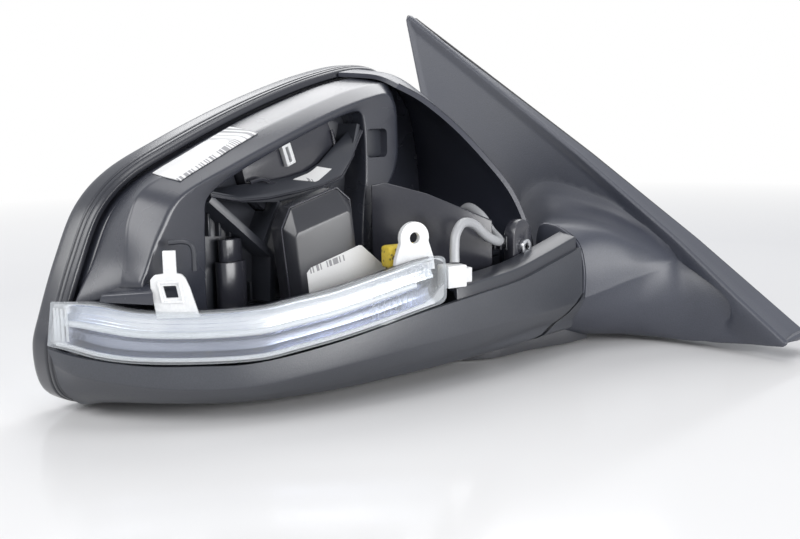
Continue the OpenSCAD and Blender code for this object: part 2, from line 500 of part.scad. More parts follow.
// flat shape seen from the front, standing from y0 to y1
module slab(y0, y1) translate([0, y1, 0]) rotate([90, 0, 0]) linear_extrude(y1 - y0) children();
pane_curve = ring(drawn_in([for (p = rim_points) [p[0], rim_y, p[1]]], 8.5 + glass_gap + 1.5), 3);
module pane(inset, y0, y1) slab(y0, y1) flat(drawn_in(pane_curve, inset));
module carrier_shell() color("#34373c") difference() {
    stack([skirt(4.9, 36.5), skirt(6.4, 31.5), floor_loop(7.4, 1), groove, knee, ridge, window,
        at_y(window, window_back_y), at_y(drawn_in(window, -inner_wall), window_back_y),
        [for (i = [0 : len(ridge) - 1]) [(ridge[i][0] + window[i][0]) / 2, 2, (ridge[i][2] + window[i][2]) / 2]],
        moved_y(drawn_in(knee, inner_wall), 1.5), moved_y(drawn_in(groove, inner_wall), inner_wall),
        floor_loop(9.4, 1 + inner_wall), skirt(8.2, 33.6), skirt(6.8, 36.5)], wrap = true);
    // way out for the frame's arm and a pocket in the stile
    translate([-146, frame_y - 0.6, 0.4]) cube([30, frame_t + 4, 11.2]);
}
module bezel_ring() color("#23262b") stack([for (q = [[8.5, 47], [4.5, 49.5], [1.2, 49], [0, 45], [0, 38],
    [1.2, 34.5], [2.2, 33], [4.2, 32.6], [4, 40], [8.5, 43]]) at_y(drawn_in(rim, q[0]), q[1])], wrap = true);
module inboard_shell() color("#2e3135") difference() {
    g = mesh([shell_rim, shell_bulge, shell_edge], 3, 3);
    between(g, shifted(g, -inner_wall));
    under_part_line(head_gap / 2);
}
ledge_line = [[-150, -57, -11.5], [-137, -59.5, -10], [-111, -62, -7.5], [-88, -63, -3], [-66, -64, 1.8]];
module lower_housing() color("#33373c") difference() {
    union() {
        front_skin(shell_wall);
        g = mesh([[for (p = ledge_line) p + [0, 10.5, 3.2]], [for (p = ledge_line) p + [0, 0.8, -0.6]]], 2, 1);
        between(g, shifted(g, -inner_wall));
    }
    under_part_line(-head_gap / 2);
    translate([-64.5 - head_gap - 1, -100, -60]) cube([40, 60, 80]);
    translate([pivot[0], pivot[1], -60]) cylinder(h = 25, r = plate_r + 1.5);
}
arm_z = 0.9;
lobe = [-178, 47];
lobe_r = 26;
lobe_y = 8;
mount_spots = [[-222, 4], [-222, 26], [-131, 52], [-148, -7.6]];
module frame_plate_outline() flat(drawn_in(knee, inner_wall + 1.6));
module head_frame() color("#26282b") difference() {
    union() {
        slab(frame_y, frame_y + frame_t) difference() {
            frame_plate_outline();
            translate([-134, -40]) square([60, 40.5]);
        }
        // webs seen through the window
        intersection() {
            union() {
                web([[-229, 36], [-210, 31.5], [-190, 30], [-170, 32], [-154, 37], [-147, 46], [-143, 59]], 2,
                    1.7, frame_y + 1);
                web([[-225, 33], [-195, 8], [-196, -11]], 3, 1.5, frame_y + 1);
                web([[-190, 29], [-200, 11]], 2.4, 1.5, frame_y + 1);
            }
            slab(-5, 40) flat(drawn_in(window, 0.5));
        }
        // arm round to the pivot sleeve
        translate([-140, frame_y, arm_z]) cube([24, frame_t, 9.6]);
        translate([-124, frame_y + frame_t - 0.1, sleeve_low]) cube([24, 4, 44.5]);
        translate([-112, -14, sleeve_low]) cube([14, 31, 12.4]);
        translate([pivot[0], pivot[1], sleeve_low]) cylinder(h = sleeve_top - sleeve_low, r = tube_r + sleeve_wall);
        // stem of the front bracket
        translate([-99, -45, sleeve_low]) cube([10, 26, 7]);
    }
    along_y(lobe[0], lobe_y - 0.3, lobe[1]) cylinder(h = 30, r = lobe_r + 0.8);
    translate([pivot[0], pivot[1], sleeve_low - 1]) cylinder(h = sleeve_top - sleeve_low + 2, r = tube_r + run_gap);
    for (m = mount_spots) along_y(m[0], 0, m[1]) cylinder(h = 30, r = screw_r - 0.2);
}
module frame_screws() color("#c6c9cc") {
    for (m = [mount_spots[2], mount_spots[3]]) along_y(m[0], frame_y + frame_t + 0.1, m[1]) difference() {
        cylinder(h = 2, r = screw_head_r);
        translate([0, 0, 1]) for (a = [0 : 60 : 120]) rotate(a) cube([3, 1, 3], center = true);
    }
    translate([-94, -50.6, 4]) rotate([90, 0, 0]) difference() {
        cylinder(h = 2.2, r = screw_head_r);
        translate([0, 0, 1]) for (a = [0 : 60 : 120]) rotate(a) cube([3.4, 1.1, 3], center = true);
    }
}
module pivot_bracket() color("#3b3e43") difference() {
    translate([-94, 0, 0]) slab(-50.5, -45.2) {
        translate([-7, sleeve_low]) square([14, 43]);
        translate([0, sleeve_low + 43]) circle(r = 7);
    }
    along_y(-94, -60, 4) cylinder(h = 20, r = screw_r - 0.2);
}
// panel between the stile and the pivot
module inner_panel() color("#2a2c30") translate([-144, -6, 0]) rotate(-49.9) slab(-1, 1)
    polygon([[0, -9], [0, 33], [6, 34], [24, 29], [52, 17], [52, -4]]);
module thrust_ring() color("#d9d7cf") translate([pivot[0], pivot[1], sleeve_low - 1.6]) difference() {
    cylinder(h = 1.5, r = detent_r - 1);
    translate([0, 0, -1]) cylinder(h = 4, r = tube_r + 0.4);
}

// ---------- head: folding drive ----------
worm_y = pivot[1] + pitch_r + worm_r - 0.8 * gear_mod;
worm_z = gear_mid;
worm_core = worm_r - 2.4;
worm_x = pivot[0] - worm_l / 2;
worm_lead = PI * gear_mod;
case_low = sleeve_top + 0.1;
case_top = -2.6;
motor_x = worm_x - 7 - motor_l;
motor_rad = motor_r - 1.5;
module drive_outline() {
    translate(pivot) circle(r = pitch_r + 3.2);
    translate([worm_x - 7, worm_y - 8]) square([worm_l + 11, 16.2]);
    translate([motor_x - 1.6, worm_y - motor_rad - 1.6]) square([motor_l + 2.6, 2 * motor_rad + 3]);
}
module drive_case() color("#2b2d31") difference() {
    union() {
        translate([0, 0, case_low]) linear_extrude(case_top - case_low) drive_outline();
        translate([motor_x - 1.6, worm_y - motor_rad - 1.6, worm_z - motor_rad - 1.6])
            cube([motor_l + 2.6, 2 * motor_rad + 3, 6]);
    }
    translate([pivot[0], pivot[1], case_low + 1.5]) cylinder(h = 30, r = pitch_r + 1.7);
    translate([pivot[0], pivot[1], case_low - 1]) cylinder(h = 30, r = tube_r + 0.6);
    along_x(worm_x - 5.4, worm_y, worm_z) cylinder(h = worm_l + 7.4, r = worm_r + 0.6);
    translate([worm_x - 5.4, worm_y - worm_r - 0.6, worm_z]) cube([worm_l + 7.4, 2 * worm_r + 1.2, 20]);
    along_x(worm_x - 8, worm_y, worm_z) cylinder(h = worm_l + 11, r = 1.6);
    along_x(motor_x, worm_y, worm_z) cylinder(h = motor_l, r = motor_rad + 0.15);
    translate([motor_x, worm_y - motor_rad - 0.15, worm_z]) cube([motor_l, 2 * motor_rad + 0.3, 20]);
}
module drive_cover() color("#232529") difference() {
    translate([0, 0, case_top + 0.1]) linear_extrude(1.6) drive_outline();
    translate([pivot[0], pivot[1], case_top - 1]) cylinder(h = 5, r = tube_r + 6);
}
module fold_motor() color("#9da1a6") {
    along_x(motor_x + 0.1, worm_y, worm_z) cylinder(h = motor_l - 0.2, r = motor_rad);
    along_x(motor_x + motor_l - 0.3, worm_y, worm_z) cylinder(h = 1.4, r = 1.3);
}
module fold_worm() color("#b9975a") {
    along_x(worm_x - 5, worm_y, worm_z) cylinder(h = worm_l + 7, r = 1.5);
    along_x(worm_x - 1, worm_y, worm_z) cylinder(h = worm_l + 2, r = worm_core);
    steps = round(16 * worm_l / worm_lead);
    translate([pivot[0], worm_y, worm_z]) stack([for (i = [0 : steps])
        let (a = 180 + 360 * (i - steps / 2) / 16 + 180, x = worm_lead * (i - steps / 2) / 16)
        [for (q = [[-0.62, worm_core - 0.3], [-0.3, worm_r], [0.3, worm_r], [0.62, worm_core - 0.3]])
            [x + q[0], q[1] * cos(a), q[1] * sin(a)]]]);
}

// ---------- head: lamp ----------
lens_rows = [lens_top, [for (i = [0 : len(lens_top) - 1]) (lens_top[i] + lens_bottom[i]) / 2 + [-0.5, -1, 0]],
    lens_bottom];
lens_grid = mesh(lens_rows, 2, 2);
module lens_layer(depth, wall) between(shifted(lens_grid, -depth), shifted(lens_grid, -depth - wall));
function drawn_rows(k) = [[for (i = [0 : len(lens_top) - 1]) lens_top[i] + k * (lens_bottom[i] - lens_top[i])],
    [for (i = [0 : len(lens_top) - 1]) lens_rows[1][i]],
    [for (i = [0 : len(lens_top) - 1]) lens_bottom[i] + k * (lens_top[i] - lens_bottom[i])]];
module lamp_layer(k, depth, wall, a = 0, b = 10) {
    g = mesh([for (row = drawn_rows(k)) [for (i = [a : b]) row[i]]], 2, 2);
    between(shifted(g, -depth), shifted(g, -depth - wall));
}
module lamp_lens() color("#dfe6ee", 0.5) lens_layer(0, lens_wall);
module lamp_housing() color("#2b2e33") {
    difference() {
        lens_layer(lens_wall + 0.1, 9);
        lamp_layer(0.09, lens_wall - 1, 9, 1, 9);
    }
    // mounting tab and ear on the back edge
    difference() {
        translate([-254.7, -7, 0]) rotate(-43) slab(-1, 1)
            polygon([[-6.5, -7], [7.5, -7], [7.5, 8], [4, 10.5], [4, 16], [-4, 16], [-4, 10.5], [-6.5, 8]]);
        translate([-254.7, -7, 2]) rotate(-43) cube([5, 10, 4.6], center = true);
    }
    difference() {
        translate([-163, -46, 0]) rotate(-20) slab(-1.2, 1.2)
            polygon([[-10, 2], [10, 2], [9, 9], [5, 19], [0, 21.5], [-5, 19]]);
        translate([-163, -46, 15]) rotate(-20) rotate([-90, 0, 0]) cylinder(h = 30, r = ear_hole_r, center = true);
    }
}
module lamp_reflector() color("#d9dde2") lamp_layer(0.14, lens_wall + 1.2, reflector_wall, 1, 9);
module lamp_board() color("#2f6a4a") lamp_layer(0.2, lens_wall + 5.2, board_t, 2, 8);
led_spots = [-246, -231, -216, -201, -187, -174];
function mid_span(x) = max([for (i = [0 : len(lens_rows[1]) - 2]) lens_rows[1][i][0] <= x ? i : 0]);
module lamp_leds() color("#f2efd8") for (i = [0 : led_n - 1]) {
    a = lens_rows[1][mid_span(led_spots[i])];
    b = lens_rows[1][mid_span(led_spots[i]) + 1];
    d = unit(b - a);
    translate(a + (led_spots[i] - a[0]) / (b[0] - a[0]) * (b - a) + (lens_wall + 4.2) * [-d[1], d[0], 0])
        rotate(atan2(d[1], d[0])) cube([3, 1.4, 2.4], center = true);
}
module lamp_plug() color("#26282b") translate([-147.3, -52.8, -1.6]) rotate(-17) {
    cube([9, 8, 9], center = true);
    translate([6, 0, 0]) cube([4, 6, 6], center = true);
}
// ---------- head: leads ----------
loop_route = [[-92, -14, tube_top + 0.6], [-92.5, -15, 17], [-94.5, -21, 20], [-98.5, -31, 17], [-103.5, -40, 11.5],
    [-108, -47.6, 8.5], [-114, -50.8, 8.6], [-122, -51, 12], [-130, -50.6, 17.5], [-137, -50.4, 18.5],
    [-142, -50.8, 14.5], [-144, -51.6, 9], [-145, -52.4, 3.4]];
module lead_loop() color("#a9acb0") tube_along(ring_open(loop_route, 2), lead_r - 0.2, 8);
function ring_open(P, n) = path(P, n);
module lead_tape() color("#d9b23c") translate([-160.6, -38.6, 7]) rotate([0, 0, -20]) cube([17, 8.4, 9], center = true);

// ---------- head: control module ----------
module at_module() translate([-207.5, -28.4, -11.9]) rotate(20) children();
// box with a sloped upper front edge, width along X and depth along Y
module module_block(x0, x1, d0, d1, h0, h1, slope) translate([x0, 0, 0]) rotate([90, 0, 90]) linear_extrude(x1 - x0)
    polygon([[d0, h0], [d1, h0], [d1, h1], [d0 + slope, h1], [d0, h1 - slope]]);
module module_case() color("#1d1f22") at_module() difference() {
    module_block(0, module_w, 0, module_d, 0, module_h, 7);
    module_block(module_wall, module_w - module_wall, module_wall, module_d + 1, module_wall,
        module_h - module_wall, 6.2);
}
module module_lid() color("#232529") difference() {
    at_module() {
        translate([0, module_d + 0.1, 0]) cube([module_w, 1.6, module_h]);
        translate([4, module_d + 1.6, 8]) cube([8, 34, 6]);
    }
    slab(frame_y - 0.1, frame_y + 60) translate([-300, -100]) square([200, 200]);
}
module module_board() color("#2f6a4a") at_module()
    translate([module_wall + 0.4, module_d - 5, module_wall + 0.4]) cube([module_w - 2 * module_wall - 0.8, 1.6,
        module_h - 2 * module_wall - 0.8]);
module module_label() color("#e4e5e3") at_module() translate([3, -label_t - 0.05, 9]) cube([module_w - 7, label_t, 16]);
function between_loops(A, B, u, f) = let (k = floor(u), r = u - k)
    (A[k] + r * (A[k + 1] - A[k])) * (1 - f) + (B[k] + r * (B[k + 1] - B[k])) * f;
label_grid = [for (s = [0 : 4]) [for (k = [0 : 4]) between_loops(groove, knee, 13.1 + 0.45 * k + s / 4, 0.2 + 0.14 * s)]];
module carrier_label() color("#d5d6d4") between(shifted(label_grid, 0.15 + label_t), shifted(label_grid, 0.15));
module frame_label() color("#e4e5e3") web([[-188, 31.5], [-172, 33.1]], label_t, 2, 7.4);

// ---------- head: glass adjuster ----------
drum = [-174, 18];
drum_rad = drum_r - 7;
arm = rod_arm - 5;
swing_y = 36;
case_y0 = frame_y + frame_t + 0.2;
case_y1 = 28;
cover_t = 2;
post_r = 8.5;
pan_spot = [drum[0] - arm, drum[1]];
tilt_spot = [drum[0], drum[1] + arm];
adj_nut_r = nut_r - 1.5;
adj_can_r = adj_motor_r - 1.2;
module adjuster_case() color("#1f2124") difference() {
    union() {
        along_y(drum[0], case_y0, drum[1]) cylinder(h = case_y1 - case_y0, r = drum_rad);
        intersection() {
            along_y(lobe[0], lobe_y, lobe[1]) cylinder(h = case_y0 + 2 - lobe_y, r = lobe_r);
            slab(0, 40) flat(drawn_in(window, 1.4));
        }
        intersection() {
            along_y(lobe[0], case_y0, lobe[1]) cylinder(h = 6, r = lobe_r);
            slab(0, 60) flat(drawn_in(knee, 5));
        }
    }
    difference() {
        along_y(drum[0], case_y0 + 1.8, drum[1]) cylinder(h = 40, r = drum_rad - 1.8);
        along_y(drum[0], 0, drum[1]) cylinder(h = 100, r = post_r);
    }
}
module adjuster_cover() color("#2a2c30") difference() {
    union() {
        along_y(drum[0], case_y1 + 0.1, drum[1]) cylinder(h = cover_t, r = drum_rad);
        along_y(drum[0], case_y1 + 1, drum[1]) cylinder(h = swing_y + 3 - case_y1 - 1, r = post_r - 2.5);
        along_z(swing_y, 11) cylinder(h = 22, r = 1.5, center = true);
    }
    for (q = [pan_spot, tilt_spot]) along_y(q[0], case_y1 - 1, q[1]) cylinder(h = 6, r = rod_r + 1);
}
module along_z(y, len_z) translate([drum[0], y, drum[1]]) children();
module adjuster_plug() color("#e7e7e2") translate([-180.6, lobe_y - 0.1, 47.6]) rotate([0, -20, 0]) difference() {
    rotate([90, 0, 0]) translate([0, 0, 0]) linear_extrude(2.4) square([5, 9], center = true);
    translate([0, -1.2, 0]) cube([1.6, 6, 6.5], center = true);
}
motor_spots = [[-157, 11.5], [-174, -2.5]];
module adjuster_motors() color("#9da1a6") for (q = motor_spots) {
    along_x(q[0] - 8, case_y0 + 1.9 + adj_can_r, q[1]) cylinder(h = 16, r = adj_can_r);
}
nut_y = case_y0 + 2.2;
module nut(c) along_y(c[0], nut_y, c[1]) difference() {
    union() {
        cylinder(h = 3, r = adj_nut_r);
        cylinder(h = 8, r = rod_r + 2);
    }
    translate([0, 0, -1]) cylinder(h = 12, r = rod_r + 0.35);
}
module pan_nut() color("#d8d4c4") nut(pan_spot);
module tilt_nut() color("#d8d4c4") nut(tilt_spot);
module rod(c) {
    along_y(c[0], nut_y + 3, c[1]) cylinder(h = swing_y - nut_y - 3, r = rod_r - 0.2);
    translate([c[0], swing_y, c[1]]) sphere(r = rod_ball_r, $fn = 32);
}
module pan_rod() color("#e2e0d6") rod(pan_spot);
module tilt_rod() color("#e2e0d6") rod(tilt_spot);
ring_in = post_r;
ring_out = post_r + 4;
module gimbal_ring() color("#3b3e43") {
    difference() {
        along_y(drum[0], swing_y - 2.2, drum[1]) cylinder(h = 4.4, r = ring_out);
        along_y(drum[0], swing_y - 3, drum[1]) cylinder(h = 6, r = ring_in);
        translate([drum[0], swing_y, drum[1]]) cylinder(h = 40, r = 1.5 + run_gap, center = true);
    }
    for (k = [-1, 1]) along_x(drum[0] + k * (ring_out + 1.4) - 1.7, swing_y, drum[1]) cylinder(h = 3.4, r = 1.5);
}
pane_y = 43;
module glass_holder() color("#2e3034") difference() {
    union() {
        pane(0, pane_y, pane_y + holder_t);
        difference() {
            pane(0, pane_y, pane_y + holder_t + heater_t + 1.2);
            pane(1.2, pane_y, pane_y + 10);
        }
        for (k = [-1, 1]) translate([drum[0] + k * (ring_out + 2.8) - 1.4, swing_y - 3, drum[1] - 3])
            cube([2.8, pane_y - swing_y + 3.5, 6]);
        for (q = [pan_spot, tilt_spot]) along_y(q[0], swing_y - 1.2, q[1])
            cylinder(h = pane_y - swing_y + 1.5, r = rod_ball_r + 2);
    }
    translate([drum[0], swing_y, drum[1]]) rotate([0, 90, 0]) cylinder(h = 2 * ring_out + 10, r = 1.5 + run_gap,
        center = true);
    for (q = [pan_spot, tilt_spot]) {
        along_y(q[0], swing_y - 3, q[1]) cylinder(h = 3 + rod_ball_r + 0.5, r = rod_ball_r + 0.5);
    }
    along_y(drum[0], 30, drum[1]) cylinder(h = 10, r = post_r - 1);
}
module heater_pad() color("#c98a3a") pane(1.8, pane_y + holder_t + 0.05, pane_y + holder_t + heater_t);
module heater_terminals() color("#c6c9cc") for (k = [-1, 1])
    translate([-226 + 4 * k, pane_y - 3, 20]) cube([1, 3, 5]);
module mirror_glass() color("#cfd6dc") pane(1.4, pane_y + holder_t + heater_t + 0.05,
    pane_y + holder_t + heater_t + 0.05 + glass_t);

foot_base();
sail_cover();
arm_cover();
door_gasket();
cable_grommet();
pivot_tube();
detent_ring();
fold_gear();
fold_spring();
spring_retainer();
snap_ring();
cover_screws();
foot_harness();
head_frame();
inner_panel();
bezel_ring();
carrier_shell();
inboard_shell();
lower_housing();
pivot_bracket();
frame_screws();
thrust_ring();
drive_case();
drive_cover();
fold_motor();
fold_worm();
lamp_housing();
lamp_board();
lamp_leds();
lamp_reflector();
lamp_lens();
lamp_plug();
lead_loop();
lead_tape();
module_case();
module_lid();
module_board();
module_label();
carrier_label();
frame_label();
adjuster_case();
adjuster_cover();
adjuster_plug();
adjuster_motors();
pan_nut();
tilt_nut();
pan_rod();
tilt_rod();
gimbal_ring();
glass_holder();
heater_pad();
heater_terminals();
mirror_glass();
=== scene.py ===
"""Exterior car side mirror, right-hand side, painted cap removed: finishes, fine shapes, light and camera.

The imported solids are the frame. Shells whose outline is smooth are built here again from the same driving
curves with many more points, the machined and moulded inner parts get rounded edges, and every piece gets a
procedural finish. Lengths in the curves are millimetres; meshes are written in metres.
"""

import json
import logging
import math
from dataclasses import dataclass, field
from enum import Enum
from typing import Callable, Iterable, Sequence

import bmesh
import bpy
import numpy as np
from bpy.types import ID, Material, Node, NodeSocket, NodeTree, Object
from mathutils import Matrix, Vector
from mathutils.geometry import delaunay_2d_cdt

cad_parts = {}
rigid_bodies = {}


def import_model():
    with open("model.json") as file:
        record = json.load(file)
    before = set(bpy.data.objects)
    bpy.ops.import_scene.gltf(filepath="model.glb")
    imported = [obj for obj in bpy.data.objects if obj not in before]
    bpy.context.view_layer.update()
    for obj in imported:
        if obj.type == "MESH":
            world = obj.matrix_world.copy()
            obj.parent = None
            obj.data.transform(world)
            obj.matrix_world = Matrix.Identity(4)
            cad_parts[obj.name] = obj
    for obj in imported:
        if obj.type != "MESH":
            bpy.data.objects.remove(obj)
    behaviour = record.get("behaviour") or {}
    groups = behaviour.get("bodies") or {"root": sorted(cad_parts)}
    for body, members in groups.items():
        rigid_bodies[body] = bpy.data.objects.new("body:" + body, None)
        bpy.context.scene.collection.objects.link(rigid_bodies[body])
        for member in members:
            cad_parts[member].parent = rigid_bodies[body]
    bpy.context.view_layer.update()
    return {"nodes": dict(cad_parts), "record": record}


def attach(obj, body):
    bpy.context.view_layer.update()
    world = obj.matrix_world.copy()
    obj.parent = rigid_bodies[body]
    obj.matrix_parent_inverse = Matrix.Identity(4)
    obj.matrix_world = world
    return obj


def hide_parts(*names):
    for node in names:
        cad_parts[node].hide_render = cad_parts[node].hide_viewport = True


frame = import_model()
BODY_OF = {n: b for b, members in frame["record"]["behaviour"]["bodies"].items() for n in members}
MM = 0.001
LOG = logging.getLogger("side_mirror")

Colour = tuple[float, float, float]
Point = tuple[float, float, float]
Place = Callable[[float, float, float], Point]
Rows = np.ndarray

FULL_TURN = 2 * math.pi
MOST_ROUNDING = 0.45  # share of a span that one corner's rounding may take
WELD = 2e-7  # metres within which points of a finished piece are one
CAD_WELD = 2e-6  # the same for a copy of a CAD mesh
SKIN_WELD_MM = 2e-2  # the same for an open skin, in millimetres
NEARLY_FLAT = math.radians(0.6)
WHITE: Colour = (1.0, 1.0, 1.0)


# ---- curves and surfaces ----
def cubic_span(a: Rows, b: Rows, c: Rows, d: Rows, t: Rows) -> Rows:
    """Smooth span from b to c.

    Args:
        a, b, c, d: four neighbouring points or loops of points.
        t: share of the span, from 0 to 1.
    Returns:
        The points at those shares.
    """
    return 0.5 * (2 * b + (c - a) * t + (2 * a - 5 * b + 4 * c - d) * t * t + (3 * b - a - 3 * c + d) * t**3)


def closed_curve(points: Sequence, steps: int) -> Rows:
    """Closed smooth curve.

    Args:
        points: the driving points.
        steps: points made for each span.
    Returns:
        An array of len(points) * steps points.
    """
    p = np.asarray(points, float)
    t = (np.arange(steps) / steps).reshape(1, steps, 1)
    spans = [np.roll(p, k, 0)[:, None] for k in (1, 0, -1, -2)]
    return cubic_span(*spans, t).reshape(-1, p.shape[-1])


def open_curve(points: Sequence, steps: int) -> Rows:
    """Open smooth curve through points, or smooth surface through loops of points.

    Args:
        points: array (m, 3) or (m, n, 3).
        steps: parts made of each span.
    Returns:
        An array with (m - 1) * steps + 1 entries.
    """
    p = np.asarray(points, float)
    q = np.concatenate([p[:1], p, p[-1:]])
    t = (np.arange(steps) / steps).reshape((1, steps) + (1,) * (p.ndim - 1))
    spans = [q[k : len(p) - 1 + k][:, None] for k in range(4)]
    made = cubic_span(*spans, t).reshape((-1,) + p.shape[1:])
    return np.concatenate([made, p[-1:]])


def smooth_grid(rows: Sequence, along: int, across: int) -> Rows:
    """Smooth grid through a coarse one.

    Args:
        rows: the coarse rows of points.
        along: parts of each span along a row.
        across: parts of each span between rows.
    Returns:
        An array (rows, columns, 3).
    """
    return open_curve(np.stack([open_curve(r, along) for r in rows]), across)


def unit(v: Rows) -> Rows:
    """The vectors at length one."""
    return v / np.maximum(np.linalg.norm(v, axis=-1, keepdims=True), 1e-9)


def surface_normals(grid: Rows) -> Rows:
    """Normals of a grid, row direction times column direction."""
    return unit(np.cross(np.gradient(grid, axis=0), np.gradient(grid, axis=1)))


def shifted(grid: Rows, distance: float) -> Rows:
    """The grid moved along its own normals."""
    return grid + distance * surface_normals(grid)


def drawn_in(loop: Rows, distance: float) -> Rows:
    """Closed loop seen from the front, drawn in.

    Args:
        loop: points that turn clockwise seen from the front.
        distance: how far the loop moves towards its inside.
    Returns:
        The moved loop, at the same depths.
    """
    t = unit((np.roll(loop, -1, 0) - np.roll(loop, 1, 0)) * (1, 0, 1))
    return loop + np.stack([t[:, 2] * distance, np.zeros(len(loop)), -t[:, 0] * distance], 1)


def at_depth(loop: Rows, y: float) -> Rows:
    """The loop laid flat at depth y.

    Args:
        loop: the points.
        y: the depth.
    Returns:
        The flat loop.
    """
    made = loop.copy()
    made[:, 1] = y
    return made


def rounded_rows(rows: Sequence[Rows], radii: Sequence[float], parts: int = 4, wrap: bool = False) -> Rows:
    """Rows of a surface with their corners rounded.

    Args:
        rows: loops or lines of equal length, in order.
        radii: rounding at each row; 0 keeps the row.
        parts: parts of each rounding.
        wrap: whether the last row is followed by the first.
    Returns:
        An array with more rows.
    """
    made = []
    count = len(rows)
    for i, (row, r) in enumerate(zip(rows, radii)):
        inner = wrap or 0 < i < count - 1
        if not inner or r <= 0:
            made.append(row)
            continue
        before, after = rows[(i - 1) % count] - row, rows[(i + 1) % count] - row
        la = np.linalg.norm(before, axis=-1, keepdims=True)
        lb = np.linalg.norm(after, axis=-1, keepdims=True)
        a = row + unit(before) * np.minimum(r, MOST_ROUNDING * la)
        b = row + unit(after) * np.minimum(r, MOST_ROUNDING * lb)
        for t in np.linspace(0, 1, parts + 1):
            made.append((1 - t) ** 2 * a + 2 * t * (1 - t) * row + t * t * b)
    return np.stack(made)


def back_by(loop: Rows, distance: float) -> Rows:
    """The loop moved to the rear."""
    return loop + np.array((0, distance, 0))


def circle(x: float, y: float, radius: float, count: int, squash: float = 1.0) -> list[tuple[float, float]]:
    """Corners of a round outline.

    Args:
        x, y: the middle.
        radius: half the width.
        count: number of corners.
        squash: height as a share of the width.
    Returns:
        The corners (u, v) in order.
    """
    angles = np.linspace(0, FULL_TURN, count + 1)[:-1]
    return [(x + radius * math.cos(a), y + squash * radius * math.sin(a)) for a in angles]


def level(u: float, v: float, w: float) -> Point:
    """Point of a flat shape that lies level."""
    return (u, v, w)


def facing_front(u: float, v: float, w: float) -> Point:
    """Point of a flat shape whose height runs to the rear."""
    return (u, w, v)


def upright(x: float, y: float, turn: float) -> Place:
    """Frame of a flat shape that stands upright.

    Args:
        x, y: where it stands.
        turn: degrees about the vertical.
    Returns:
        A function from u along, v up and w through it to a point.
    """
    c, s = math.cos(math.radians(turn)), math.sin(math.radians(turn))
    return lambda u, v, w: (x + u * c - w * s, y + u * s + w * c, v)


def in_scene(name: str, data: ID) -> Object:
    """Makes an object and links it.

    Args:
        name: its name.
        data: its mesh, light or camera.
    Returns:
        The object.
    """
    made = bpy.data.objects.new(name, data)
    bpy.context.scene.collection.objects.link(made)
    return made


